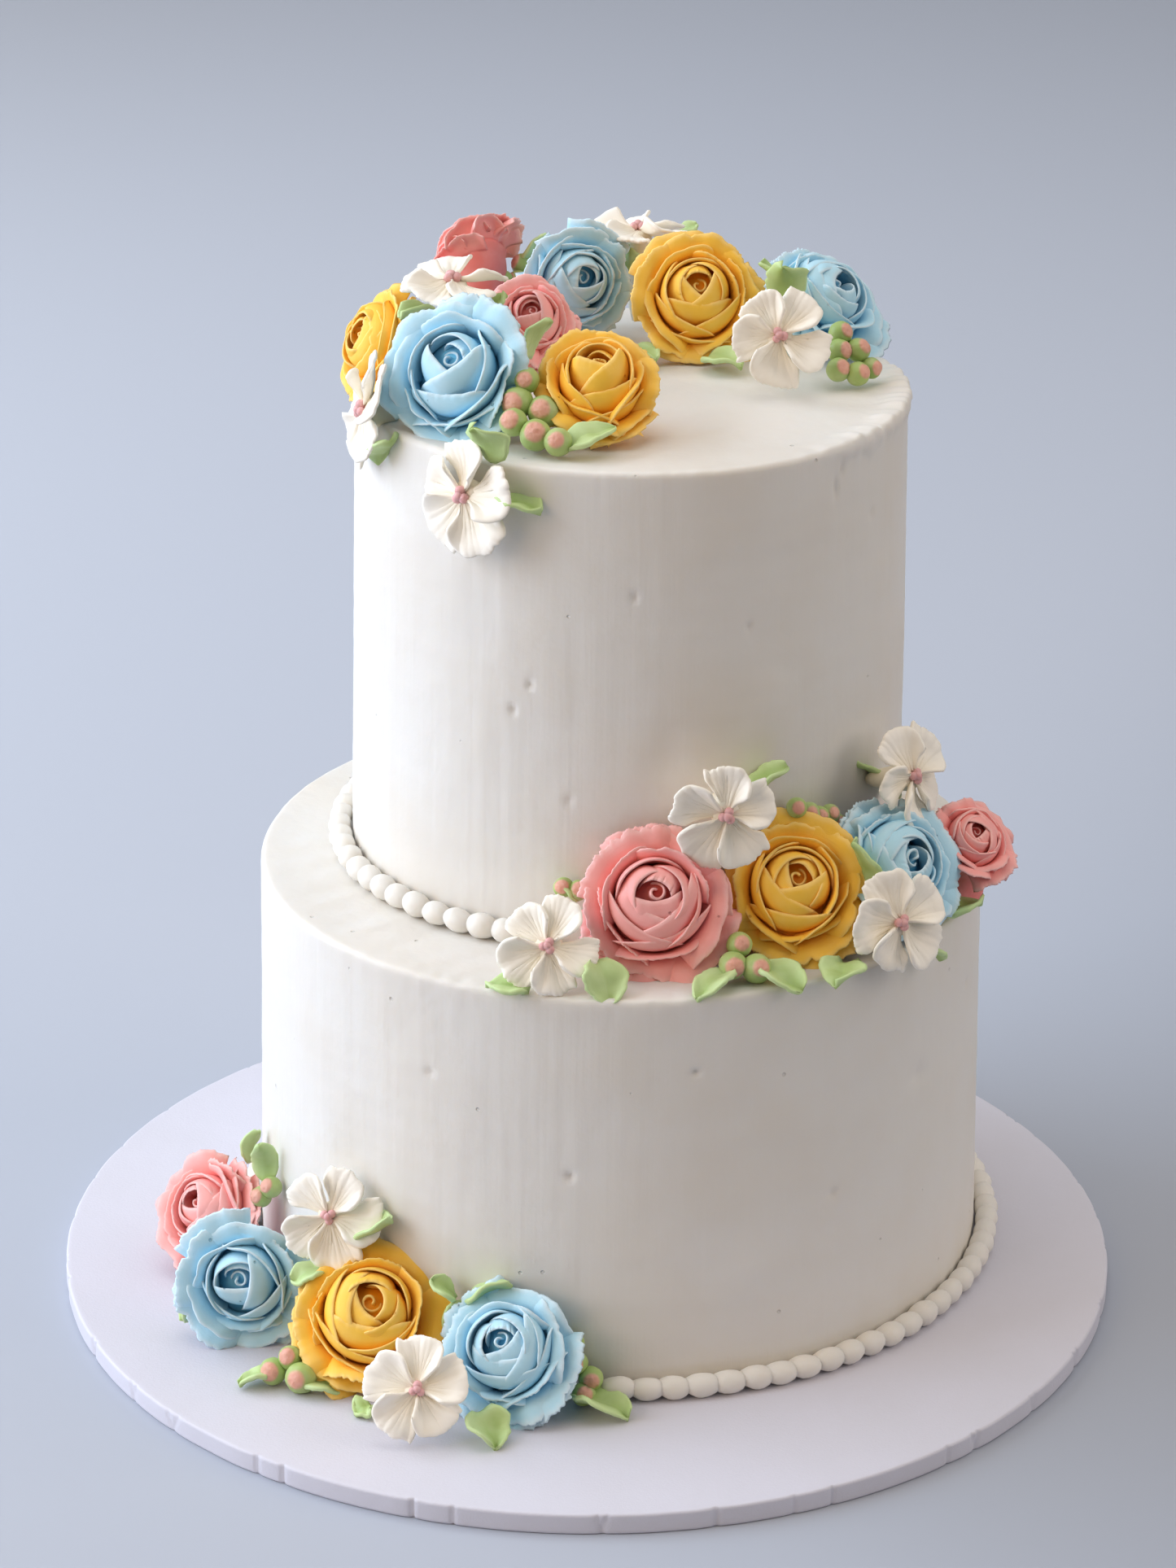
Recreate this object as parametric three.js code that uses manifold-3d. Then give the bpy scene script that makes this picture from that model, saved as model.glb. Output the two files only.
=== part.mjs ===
// A two-tier wedding cake on its round board: smooth buttercream tiers, piped pearl borders,
// and three sprays of piped roses, blossoms, berries and leaves.
// Millimetres, +Z up. The origin is the middle of the board's underside, the front is -Y.
import * as THREE from 'three';
import { mergeVertices } from 'three/addons/utils/BufferGeometryUtils.js';
import Module from 'manifold-3d';

const wasm = await Module();
wasm.setup();

// Driving dimensions.
const GAP = 0.3;                       // clearance between pieces that touch
const BOARD_RADIUS = 152.4;            // a twelve inch round board
const BOARD_THICKNESS = 6;
const BOARD_SIDES = 60;
const BOARD_EDGE = 0.8;                // soft edge of the paper-wrapped board
const LOWER = { x: 9, y: 15, foot: 105.4, rim: 103, height: 117.6 };
const UPPER = { x: 10.5, y: 24.5, foot: 78.7, rim: 76.3, height: 134.9 };
const RIM_ROUND = 1.6;                 // radius of the icing's top edge
const RIM_BEVEL = 0.3;                 // where that edge's middle corner lies, against its radius
const TIER_SIDES = 48;
const PEARL_WIDTH = 7;
const PEARL_PITCH = 7.6;
const PEARL_SIDES = 4;
const PEARL_NECK = 0.62;               // how thick the icing is between pearls, against a pearl
const LOWER_PEARLS = { from: -2, to: 278 };    // degrees round the tier, the rest is under the spray
const UPPER_PEARLS = { from: 80, to: 344 };
const ROSE_SIDES = 20;
const ROSE_WAIST = { reach: 0.66, drop: 0.34 };  // the icing under the petals, in rose radii
const ROSE_FOOT = 0.5;                 // and where it sits down
const BLOSSOM_PETALS = 5;
const SIDES_PER_PETAL = 3;
const BERRY_SIDES = 6;
const BERRY_RINGS = 4;
const BERRY_FACET_ALLOWANCE = 1.1;      // a faceted ball is smaller than the round one it stands for
const BERRY_SQUEEZE = 0.87;             // how close neighbouring berries stand, against their radii
const LEAF_STEPS = 3;
const LEAF_THICKNESS = 1.2;

const LEDGE_Z = BOARD_THICKNESS + LOWER.height;
const TOP_Z = LEDGE_Z + UPPER.height;
const DEGREE = Math.PI / 180;

// What the sprays lie on: the middle of the circle that angles are counted round, and its height.
const GROUNDS = {
  top: { x: UPPER.x, y: UPPER.y, z: TOP_Z },
  ledge: { x: LOWER.x, y: LOWER.y, z: LEDGE_Z },
  board: { x: LOWER.x, y: LOWER.y, z: BOARD_THICKNESS },
};

const COLOURS = {
  icing: 0xf6f3ee, board: 0xe4e3ec, blue: 0x9fcfe6, yellow: 0xf6c15a, pink: 0xe28f90,
  cream: 0xf4efe2, green: 0xa6cc86, sage: 0x93ad78,
};

// Roses: the place of the middle of the outer petals (angle from the front, distance out, height
// up), the outer radius, which way the rose looks (angle, lift), and how far the bud stands up.
const ROSES = [
  { name: 'rose_top_blue_front', on: 'top', colour: 'blue',
    place: [-49, 63, 15], radius: 20.5, look: [-24, 36], bud: 0.44 },
  { name: 'rose_top_yellow_bud', on: 'top', colour: 'yellow',
    place: [-12, 45, 13], radius: 16.5, look: [4, 60], bud: 0.68 },
  { name: 'rose_top_yellow_left', on: 'top', colour: 'yellow',
    place: [-88, 70, 11], radius: 16.5, look: [-72, 26], bud: 0.42 },
  { name: 'rose_top_pink_back', on: 'top', colour: 'pink',
    place: [-138, 68, 23], radius: 14, look: [-150, 40], bud: 0.6 },
  { name: 'rose_top_blue_back', on: 'top', colour: 'blue',
    place: [-159, 43, 17], radius: 16.8, look: [24, 12], bud: 0.42 },
  { name: 'rose_top_pink_low', on: 'top', colour: 'pink',
    place: [-116, 31, 14], radius: 12.5, look: [10, 40], bud: 0.42 },
  { name: 'rose_top_yellow_right', on: 'top', colour: 'yellow',
    place: [147, 34, 16], radius: 19, look: [6, 36], bud: 0.42 },
  { name: 'rose_top_blue_right', on: 'top', colour: 'blue',
    place: [121, 65, 14], radius: 18.5, look: [58, 42], bud: 0.42 },
  { name: 'rose_ledge_pink', on: 'ledge', colour: 'pink',
    place: [6, 82, 18], radius: 20.3, look: [0, 33], bud: 0.45 },
  { name: 'rose_ledge_yellow', on: 'ledge', colour: 'yellow',
    place: [33, 85, 18], radius: 20, look: [6, 38], bud: 0.5 },
  { name: 'rose_ledge_blue', on: 'ledge', colour: 'blue',
    place: [53, 94, 18], radius: 19.5, look: [44, 30], bud: 0.45 },
  { name: 'rose_ledge_pink_small', on: 'ledge', colour: 'pink',
    place: [69, 104, 18], radius: 12.8, look: [25, 45], bud: 0.5 },
  { name: 'rose_board_pink', on: 'board', colour: 'pink',
    place: [-72, 124.5, 18], radius: 17.5, look: [-52, 34], bud: 0.42 },
  { name: 'rose_board_blue', on: 'board', colour: 'blue',
    place: [-53, 131, 18], radius: 18.5, look: [-8, 15], bud: 0.4 },
  { name: 'rose_board_yellow', on: 'board', colour: 'yellow',
    place: [-35, 119, 18], radius: 21, look: [2, 46], bud: 0.5 },
  { name: 'rose_board_blue_right', on: 'board', colour: 'blue',
    place: [-15, 118, 17], radius: 18.5, look: [-22, 36], bud: 0.42 },
];

// Blossoms: the same, with the length of the blob of icing behind that sticks each one down.
const BLOSSOMS = [
  { name: 'blossom_top_flat', on: 'top',
    place: [-79, 50, 32], radius: 15.5, look: [0, 84], stalk: 14 },
  { name: 'blossom_top_edge', on: 'top',
    place: [-65, 79, 3], radius: 16, look: [-76, 12], stalk: 9 },
  { name: 'blossom_top_side', on: 'top',
    place: [-33, 81, -9], radius: 15.8, look: [-42, 8], stalk: 8 },
  { name: 'blossom_top_back', on: 'top',
    place: [178, 58, 28], radius: 15.2, look: [180, 86], stalk: 26 },
  { name: 'blossom_top_right', on: 'top',
    place: [83, 40.5, 16], radius: 14.2, look: [4, 26], stalk: 14 },
  { name: 'blossom_ledge_left', on: 'ledge',
    place: [-12, 96, 12], radius: 14, look: [-6, 30], stalk: 18 },
  { name: 'blossom_ledge_high', on: 'ledge',
    place: [19, 83.5, 44], radius: 15, look: [8, 6], stalk: 16 },
  { name: 'blossom_ledge_right', on: 'ledge',
    place: [44, 107, 12], radius: 14.6, look: [34, 18], stalk: 10 },
  { name: 'blossom_ledge_back', on: 'ledge',
    place: [62, 89.5, 40], radius: 14.4, look: [52, 18], stalk: 15 },
  { name: 'blossom_board_high', on: 'board',
    place: [-44, 115, 42], radius: 14.4, look: [-16, 20], stalk: 15 },
  { name: 'blossom_board_front', on: 'board',
    place: [-23, 139, 14], radius: 14, look: [0, 34], stalk: 10 },
];

// Berries: each bunch is a few balls piped against each other, given as angle, out, up and radius.
// Some bunches have leaves piped into them, given as the leaves below are.
const BERRIES = [
  { name: 'berries_top_front',
    on: 'top',
    balls: [[-31, 54.5, 16, 3.4], [-31.5, 60, 9, 4.3], [-24.5, 57, 9, 4.3], [-27.5, 70, 4, 3.8],
      [-22.5, 64.5, 4.4, 4.3], [-15.5, 66.5, 4, 3.8]],
    blades: [[-15, 67, 3.5, 119, 12, 15, 7.5]] },
  { name: 'berries_top_right',
    on: 'top',
    balls: [[98, 58.5, 13, 3.4], [93, 57.5, 8.8, 3.4], [95, 63, 9, 3.4], [88, 57, 4, 3.4],
      [89.5, 62.5, 4, 3.4], [93, 66.5, 4.5, 3]],
    blades: [] },
  { name: 'berries_top_back',
    on: 'top',
    balls: [[-150, 62, 19, 3.2], [-147, 59, 15, 3.2], [-143, 60, 16, 2.8]],
    blades: [[-151, 63, 19, 66, 54, 12, 6]] },
  { name: 'berries_ledge_front',
    on: 'ledge',
    balls: [[20, 91, 9, 3.5], [17.4, 96, 4, 3.8], [21.7, 96.5, 4, 4.1]],
    blades: [[17.2, 96, 4.5, -42, -16, 14, 9], [22.2, 96, 4.5, 62, -16, 14, 10]] },
  { name: 'berries_ledge_behind',
    on: 'ledge',
    balls: [[38, 76, 38, 2.9], [41.5, 76, 35, 3.2], [44, 76.5, 33.5, 2.9], [47, 77, 33, 2.8],
      [49.5, 77, 29, 2.8]],
    blades: [] },
  { name: 'berries_ledge_left',
    on: 'ledge',
    balls: [[-12.7, 73, 19, 2.8], [-9.5, 73, 18.5, 2.8]],
    blades: [[-9, 73, 16, -100, 24, 8, 5]] },
  { name: 'berries_board_left',
    on: 'board',
    balls: [[-66, 108.5, 30, 3.1], [-67, 111, 26.5, 3.1]],
    blades: [[-68, 109, 30, -20, 78, 14, 6.5]] },
  { name: 'berries_board_front',
    on: 'board',
    balls: [[-43, 139.5, 4, 3.8], [-41.5, 135, 8.5, 3.4], [-39.5, 137, 4.2, 4.4]],
    blades: [[-43.5, 140, 3.5, -64, -9, 9, 7.5], [-39.2, 137.5, 3.6, 84, -8, 12, 8]] },
  { name: 'berries_board_right',
    on: 'board',
    balls: [[-6.6, 109, 17, 3.2], [-6.2, 109.5, 11, 3.4], [-3.8, 110.5, 7, 3.4],
      [-4.9, 113, 3.8, 3.3]],
    blades: [[-6, 113, 4.5, 60, -8, 17, 13]] },
];

// Leaves: the foot of each blade (angle, out, up), where it heads (angle and rise), its length and
// its width. Blades piped from one spot are one piece.
const LEAVES = [
  { name: 'leaf_top_left', on: 'top', blades: [[-88, 55, 22, -30, 8, 16, 8]] },
  { name: 'leaf_top_rim', on: 'top', blades: [[-54, 79.5, 0, -146, -50, 12, 8]] },
  { name: 'leaf_top_front', on: 'top', blades: [[-28, 77, 1, -48, 55, 13, 11]] },
  { name: 'leaf_top_side', on: 'top', blades: [[-28, 80, -8, 64, -10, 13, 11]] },
  { name: 'leaf_top_blue', on: 'top', blades: [[-66, 31, 12, 70, 62, 13, 9]] },
  { name: 'leaf_top_tall', on: 'top', blades: [[180, 58, 10, -2, 62, 18, 6]] },
  { name: 'leaf_top_low', on: 'top', blades: [[131, 28, 3, 43, 2, 14, 9]] },
  { name: 'leaf_top_right', on: 'top', blades: [
    [119, 50, 18, -12, 52, 16, 10], [119, 50, 18, -75, 56, 14, 6]] },
  { name: 'leaf_ledge_left', on: 'ledge', blades: [[-14, 103, 2, -105, 2, 12, 8]] },
  { name: 'leaf_ledge_front', on: 'ledge', blades: [[-4, 95, 9, 26, -50, 13, 11]] },
  { name: 'leaf_ledge_right', on: 'ledge', blades: [[36, 103, 4, -20, -12, 12, 11]] },
  { name: 'leaf_ledge_high', on: 'ledge', blades: [[27, 75, 46, 112, 30, 12, 9]] },
  { name: 'leaf_ledge_back', on: 'ledge', blades: [[69.5, 81, 28.5, -32, 49, 20, 11]] },
  { name: 'leaf_ledge_tall', on: 'ledge', blades: [[44.5, 95, 18, -48, 68, 17, 9]] },
  { name: 'leaf_ledge_end', on: 'ledge', blades: [[60, 101, 3, 118, 4, 14, 11]] },
  { name: 'leaf_board_left', on: 'board', blades: [[-76, 110, 29, 70, 76, 11, 6.5]] },
  { name: 'leaf_board_high', on: 'board', blades: [[-40.6, 110, 35, 54, 43, 15, 9]] },
  { name: 'leaf_board_wall', on: 'board', blades: [
    [-24, 110, 26, 70, 32, 15, 8], [-24, 110, 26, -20, -84, 15, 9], [-24, 110, 26, -100, 40, 9, 7]] },
  { name: 'leaf_board_front', on: 'board', blades: [[-16.5, 131, 7, 21, -28, 13, 11]] },
];

// A direction given by its angle from the front (to the right is positive) and its rise.
function direction(angle, rise) {
  const flat = Math.cos(rise * DEGREE);
  return new THREE.Vector3(
    Math.sin(angle * DEGREE) * flat, -Math.cos(angle * DEGREE) * flat, Math.sin(rise * DEGREE));
}

// A point above one of the grounds.
function pointOn(ground, at, out, up) {
  const base = GROUNDS[ground];
  const point = direction(at, 0).multiplyScalar(out);
  return point.add(new THREE.Vector3(base.x, base.y, base.z + up));
}

// The turn that takes +Z to a direction and keeps +Y as upright as it can be.
function facing(look, lift) {
  const outward = direction(look, lift);
  const across = new THREE.Vector3(0, 0, 1).cross(outward).normalize();
  const upward = outward.clone().cross(across);
  return new THREE.Matrix4().makeBasis(across, upward, outward);
}

// Turns a closed three.js geometry into a solid.
function solidFrom(geometry) {
  const bare = geometry.index ? geometry.toNonIndexed() : geometry.clone();
  bare.deleteAttribute('normal');
  bare.deleteAttribute('uv');
  const merged = mergeVertices(bare, 1e-4);
  const corners = [];
  for (let i = 0; i < merged.index.count; i += 3) {
    const [a, b, c] = [0, 1, 2].map((k) => merged.index.getX(i + k));
    if (a !== b && b !== c && c !== a) {
      corners.push(a, b, c);
    }
  }
  return new wasm.Manifold(new wasm.Mesh({
    numProp: 3,
    vertProperties: new Float32Array(merged.attributes.position.array),
    triVerts: new Uint32Array(corners),
  }));
}

// A closed skin over a stack of rings, each an array of points, closed by a point at either end.
function skinOver(first, rings, last) {
  const sides = rings[0].length;
  const triangles = [];
  for (let i = 0; i < sides; i += 1) {
    const j = (i + 1) % sides;
    triangles.push(first, rings[0][i], rings[0][j]);
    for (let k = 0; k + 1 < rings.length; k += 1) {
      triangles.push(rings[k][i], rings[k + 1][i], rings[k + 1][j]);
      triangles.push(rings[k][i], rings[k + 1][j], rings[k][j]);
    }
    const end = rings[rings.length - 1];
    triangles.push(last, end[j], end[i]);
  }
  return new THREE.BufferGeometry().setFromPoints(triangles);
}

function middleOf(ring) {
  return ring.reduce((sum, point) => sum.add(point), new THREE.Vector3()).divideScalar(ring.length);
}

// One ring of points round +Z, its distance and height worked out at each angle.
function ringOf(sides, distance, height) {
  return Array.from({ length: sides }, (_, i) => {
    const angle = (i / sides) * 2 * Math.PI;
    const reach = distance(angle);
    return new THREE.Vector3(reach * Math.cos(angle), reach * Math.sin(angle), height(angle));
  });
}

// A solid turned round +Z from a profile that starts and ends on the axis.
function turned(profile, sides) {
  const lathe = new THREE.LatheGeometry(profile.map(([r, z]) => new THREE.Vector2(r, z)), sides);
  return solidFrom(lathe.rotateX(Math.PI / 2));
}

function boardProfile(radius, bottom, top) {
  return [
    [0, bottom], [radius - BOARD_EDGE, bottom], [radius, bottom + BOARD_EDGE],
    [radius, top - BOARD_EDGE], [radius - BOARD_EDGE, top], [0, top]];
}

// A tier: slightly narrower at the top, with a soft rim. It can be grown on every side.
function tierProfile(tier, bottom, grown) {
  const top = bottom + tier.height - GAP;
  const rim = tier.rim + grown;
  return [
    [0, bottom - grown], [tier.foot + grown, bottom - grown], [rim, top - RIM_ROUND],
    [rim - RIM_ROUND * RIM_BEVEL, top - RIM_ROUND * RIM_BEVEL + grown],
    [rim - RIM_ROUND, top + grown], [0, top + grown]];
}

function tierSolid(tier, floor, grown = 0) {
  return turned(tierProfile(tier, floor + GAP, grown), TIER_SIDES).translate([tier.x, tier.y, 0]);
}

// A row of pearls round a tier's foot: one skin that swells at each pearl and narrows between them.
function pearlBorder(tier, floor, span, grown = 0) {
  const distance = tier.foot + GAP + PEARL_WIDTH / 2;
  const arc = (span.to - span.from) * DEGREE;
  const pearls = Math.round((arc * distance) / PEARL_PITCH);
  const rings = [];
  for (let i = 0; i <= pearls * 2; i += 1) {
    const angle = span.from * DEGREE + (arc * i) / (pearls * 2);
    const radius = (PEARL_WIDTH / 2) * (i % 2 === 1 ? 1 : PEARL_NECK) + grown;
    const middle = PEARL_WIDTH / 2 + GAP;
    rings.push(Array.from({ length: PEARL_SIDES }, (_, k) => {
      const turn = ((k + 0.75) / PEARL_SIDES) * 2 * Math.PI;
      const reach = distance + radius * Math.cos(turn);
      const height = floor + middle + radius * Math.sin(turn);
      return new THREE.Vector3(
        tier.x + reach * Math.sin(angle), tier.y - reach * Math.cos(angle), height);
    }));
  }
  return solidFrom(skinOver(middleOf(rings[0]), rings, middleOf(rings[rings.length - 1])));
}

// Rings of a rose from the heart outwards: distance and height in rose radii, the number of petals
// and how far their rims wave in and out. Heights of the inner rings count up from the bud.
function roseRings(bud) {
  return [
    { reach: 0.18, rise: bud, petals: 3, wave: 0.1 },
    { reach: 0.31, rise: bud - 0.22, petals: 3, wave: 0 },
    { reach: 0.54, rise: bud - 0.1, petals: 4, wave: 0.14 },
    { reach: 0.66, rise: 0.08, petals: 5, wave: 0 },
    { reach: 1.0, rise: 0, petals: 5, wave: 0.1 }];
}

// A rose with its axis along +Z, its outer petals round the origin, and a foot of icing behind it.
function roseSolid({ radius, bud, place }, foot) {
  const rings = roseRings(bud).map(({ reach, rise, petals, wave }, k) => {
    const lobe = (angle) => Math.abs(Math.cos((petals * angle) / 2 + k + place[0]));
    return ringOf(
      ROSE_SIDES,
      (angle) => radius * reach * (1 + wave * (lobe(angle) - 0.6)),
      (angle) => radius * (rise + 0.6 * wave * (lobe(angle) - 0.5)));
  });
  rings.push(ringOf(ROSE_SIDES, () => radius * ROSE_WAIST.reach, () => -radius * ROSE_WAIST.drop));
  rings.push(ringOf(ROSE_SIDES, () => radius * ROSE_FOOT, () => 0).map((p) => p.add(foot)));
  const heart = new THREE.Vector3(0, 0, radius * (bud - 0.1));
  return skinOver(heart, rings, foot);
}

// Where a rose's foot goes, in its own frame: back along its axis and down on to what carries it.
function roseFoot(rose) {
  const back = new THREE.Vector3(0, 0, -rose.radius * 0.75);
  const sunk = new THREE.Vector3(0, 0, -rose.place[2] * 0.6);
  const down = sunk.applyMatrix4(facing(...rose.look).invert());
  return back.add(down.setZ(Math.min(down.z, 0)));
}

// A five-petalled blossom facing +Z: notched, slightly cupped, with a boss and a stalk behind.
function blossomSolid({ radius, stalk }) {
  const sides = BLOSSOM_PETALS * SIDES_PER_PETAL;
  const outline = (angle) => {
    const lobe = Math.abs(Math.sin((BLOSSOM_PETALS * angle) / 2));
    return radius * (0.62 + 0.38 * Math.sqrt(lobe));
  };
  const flat = (height) => () => height;
  return skinOver(
    new THREE.Vector3(0, 0, radius * 0.2),
    [
      ringOf(sides, () => radius * 0.17, flat(radius * 0.08)),
      ringOf(sides, outline, flat(radius * 0.14)),
      ringOf(sides, (angle) => outline(angle) * 0.97, flat(radius * 0.03)),
      ringOf(sides, () => radius * 0.24, flat(-radius * 0.12))],
    new THREE.Vector3(0, 0, -stalk));
}

// Berries squeezed together: each that stands off is pushed against the nearest one before it.
function squeezedBerries(ground, balls) {
  const placed = [];
  for (const [at, out, up, radius] of balls) {
    const middle = pointOn(ground, at, out, up);
    const reach = (other) => other.middle.distanceTo(middle) - BERRY_SQUEEZE * (other.radius + radius);
    const nearest = placed.toSorted((a, b) => reach(a) - reach(b))[0];
    if (nearest && reach(nearest) > 0) {
      const towards = nearest.middle.clone().sub(middle).setLength(reach(nearest));
      middle.add(towards);
    }
    placed.push({ middle, radius });
  }
  return placed;
}

function berrySolids(ground, balls) {
  return squeezedBerries(ground, balls).map(({ middle, radius }) => {
    const ball = new THREE.SphereGeometry(radius * BERRY_FACET_ALLOWANCE, BERRY_SIDES, BERRY_RINGS);
    return solidFrom(ball.translate(middle.x, middle.y, middle.z));
  });
}

// One leaf blade: a thin wavy solid, both faces split alike.
function bladeSolid(ground, [at, out, up, head, rise, length, width]) {
  const foot = pointOn(ground, at, out, up);
  const along = direction(head, rise);
  const across = along.clone().cross(new THREE.Vector3(0, 0, 1)).normalize();
  const normal = across.clone().cross(along);
  const sections = [];
  for (let i = 0; i <= LEAF_STEPS; i += 1) {
    const t = 0.04 + (0.94 * i) / LEAF_STEPS;
    const half = (width / 2) * Math.sin(Math.PI * t ** 0.85) ** 0.7;
    const bow = 0.1 * length * Math.sin(Math.PI * t);
    const wave = 0.12 * width * Math.sin(2 * Math.PI * t);
    sections.push([[-half, wave], [0, -0.14 * width], [half, -wave]].map(([side, lift]) => (
      foot.clone().addScaledVector(along, t * length).addScaledVector(across, side)
        .addScaledVector(normal, bow + lift))));
  }
  const offset = normal.clone().multiplyScalar(LEAF_THICKNESS);
  const rings = sections.map((row) => [...row.map((p) => p.clone().sub(offset)), ...row.toReversed()]);
  return solidFrom(skinOver(middleOf(rings[0]), rings, middleOf(rings[rings.length - 1])));
}

// A solid and its copy scaled up about its own middle, so that what they cut keeps clear of it.
function grownCopy(solid) {
  const { min, max } = solid.boundingBox();
  const middle = min.map((low, i) => (low + max[i]) / 2);
  const size = Math.min(...min.map((low, i) => max[i] - low));
  const factor = 1 + (2 * GAP) / size;
  return solid.add(solid.translate(middle.map((v) => -v)).scale(factor).translate(middle));
}

function boxesMeet(a, b) {
  return [0, 1, 2].every((i) => a.min[i] < b.max[i] && b.min[i] < a.max[i]);
}

// The largest body of a solid; the loose scraps that a cut leaves are dropped.
function largestBody(solid) {
  return solid.decompose().sort((a, b) => b.volume() - a.volume())[0];
}

const cake = new THREE.Group();
const cutters = [];

function trimmed(solid) {
  const box = solid.boundingBox();
  const near = cutters.filter((cutter) => boxesMeet(cutter.boundingBox(), box));
  return largestBody(near.reduce((rest, cutter) => rest.subtract(cutter), solid));
}

function addPiece(name, solid, colour, cutter = grownCopy(solid)) {
  const { vertProperties, triVerts, numProp } = solid.getMesh();
  const geometry = new THREE.BufferGeometry();
  const points = [...triVerts].map((v) => new THREE.Vector3().fromArray(vertProperties, v * numProp));
  geometry.setFromPoints(points);
  geometry.computeVertexNormals();
  const finish = { color: COLOURS[colour], roughness: 0.6, metalness: 0 };
  const mesh = new THREE.Mesh(geometry, new THREE.MeshStandardMaterial(finish));
  mesh.name = name;
  cake.add(mesh);
  cutters.push(cutter);
}

function addTrimmed(name, solid, colour) {
  addPiece(name, trimmed(solid), colour);
}

function addCarriers() {
  const board = turned(boardProfile(BOARD_RADIUS, 0, BOARD_THICKNESS), BOARD_SIDES);
  const boardCutter = turned(boardProfile(BOARD_RADIUS + GAP, -GAP, BOARD_THICKNESS + GAP), BOARD_SIDES);
  addPiece('board', board, 'board', boardCutter);
  for (const [name, tier, floor] of [
    ['tier_lower', LOWER, BOARD_THICKNESS], ['tier_upper', UPPER, LEDGE_Z]]) {
    addPiece(name, tierSolid(tier, floor), 'icing', tierSolid(tier, floor, GAP));
  }
  for (const [name, ...run] of [
    ['pearls_lower', LOWER, BOARD_THICKNESS, LOWER_PEARLS],
    ['pearls_upper', UPPER, LEDGE_Z, UPPER_PEARLS]]) {
    addPiece(name, trimmed(pearlBorder(...run)), 'icing', pearlBorder(...run, GAP));
  }
}

function addFlowers() {
  for (const rose of ROSES) {
    const place = facing(...rose.look).setPosition(pointOn(rose.on, ...rose.place));
    addTrimmed(rose.name, solidFrom(roseSolid(rose, roseFoot(rose)).applyMatrix4(place)), rose.colour);
  }
  for (const flower of BLOSSOMS) {
    const place = facing(...flower.look).setPosition(pointOn(flower.on, ...flower.place));
    addTrimmed(flower.name, solidFrom(blossomSolid(flower).applyMatrix4(place)), 'cream');
  }
}

function addGreens() {
  for (const { name, on, balls, blades } of BERRIES) {
    const leaves = blades.map((blade) => bladeSolid(on, blade));
    addTrimmed(name, wasm.Manifold.union([...berrySolids(on, balls), ...leaves]), 'sage');
  }
  for (const { name, on, blades } of LEAVES) {
    addTrimmed(name, wasm.Manifold.union(blades.map((blade) => bladeSolid(on, blade))), 'green');
  }
}

addCarriers();
addFlowers();
addGreens();

export default cake;
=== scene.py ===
"""A two-tier buttercream wedding cake on its round board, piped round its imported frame.

The tables give lengths in millimetres, and angles in degrees from the cake's front (-Y), to the
right. Every finished mesh is in metres in the frame's own axes: +Z up and +X to the right.
"""

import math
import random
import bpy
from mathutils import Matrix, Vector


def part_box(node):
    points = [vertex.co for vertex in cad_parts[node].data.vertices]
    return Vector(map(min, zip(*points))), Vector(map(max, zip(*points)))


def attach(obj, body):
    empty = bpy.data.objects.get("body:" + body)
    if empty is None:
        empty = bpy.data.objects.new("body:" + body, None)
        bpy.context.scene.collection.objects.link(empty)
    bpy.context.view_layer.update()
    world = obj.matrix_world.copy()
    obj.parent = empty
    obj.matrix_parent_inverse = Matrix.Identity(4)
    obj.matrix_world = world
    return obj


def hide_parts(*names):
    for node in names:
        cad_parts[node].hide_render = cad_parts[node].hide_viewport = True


bl_info = {
    "name": "Tiered Wedding Cake",
    "version": (1, 0, 0),
    "blender": (4, 5, 0),
    "location": "View3D > Sidebar > Cake",
    "description": "Pipes a two-tier buttercream wedding cake with roses, blossoms and pearls",
    "category": "Add Mesh",
}

from collections import namedtuple

import bmesh
import bpy
from bpy.props import FloatProperty, FloatVectorProperty, IntProperty, PointerProperty
from mathutils import Matrix, Vector, noise

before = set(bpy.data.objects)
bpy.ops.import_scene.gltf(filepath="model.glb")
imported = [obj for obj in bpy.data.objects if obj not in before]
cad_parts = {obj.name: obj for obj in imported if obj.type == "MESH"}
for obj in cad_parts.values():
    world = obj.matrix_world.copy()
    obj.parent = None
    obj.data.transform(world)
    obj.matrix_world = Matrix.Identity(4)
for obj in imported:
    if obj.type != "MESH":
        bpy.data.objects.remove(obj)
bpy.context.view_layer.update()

MM = 0.001
BODY = "root"
UP = Vector((0, 0, 1))

# ------------------------ sizes taken from the frame


def box_mm(node):
    """A frame node's lowest and highest corner, in millimetres."""
    low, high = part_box(node)
    return low / MM, high / MM


def tint(code):
    """A linear colour from its hex code."""
    parts = [int(code[i:i + 2], 16) / 255 for i in (1, 3, 5)]
    return tuple(p / 12.92 if p <= 0.04045 else ((p + 0.055) / 1.055) ** 2.4 for p in parts)


Tier = namedtuple("Tier", "x y foot floor top")


def tier_of(node):
    """A tier's middle, the radius of its foot, and the heights of its floor and top."""
    low, high = box_mm(node)
    return Tier((low.x + high.x) / 2, (low.y + high.y) / 2, (high.x - low.x) / 2, low.z, high.z)


BOARD_LOW, BOARD_HIGH = box_mm("board")
BOARD_RADIUS = (BOARD_HIGH.x - BOARD_LOW.x) / 2
LOWER = tier_of("tier_lower")
UPPER = tier_of("tier_upper")
GROUNDS = {
    "top": Vector((UPPER.x, UPPER.y, UPPER.top)),
    "ledge": Vector((LOWER.x, LOWER.y, LOWER.top)),
    "board": Vector((LOWER.x, LOWER.y, BOARD_HIGH.z)),
}

# ------------------------ what is piped, and where

# One of the words in a piece's name is its ground, and a rose's next word is its colour.

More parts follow.
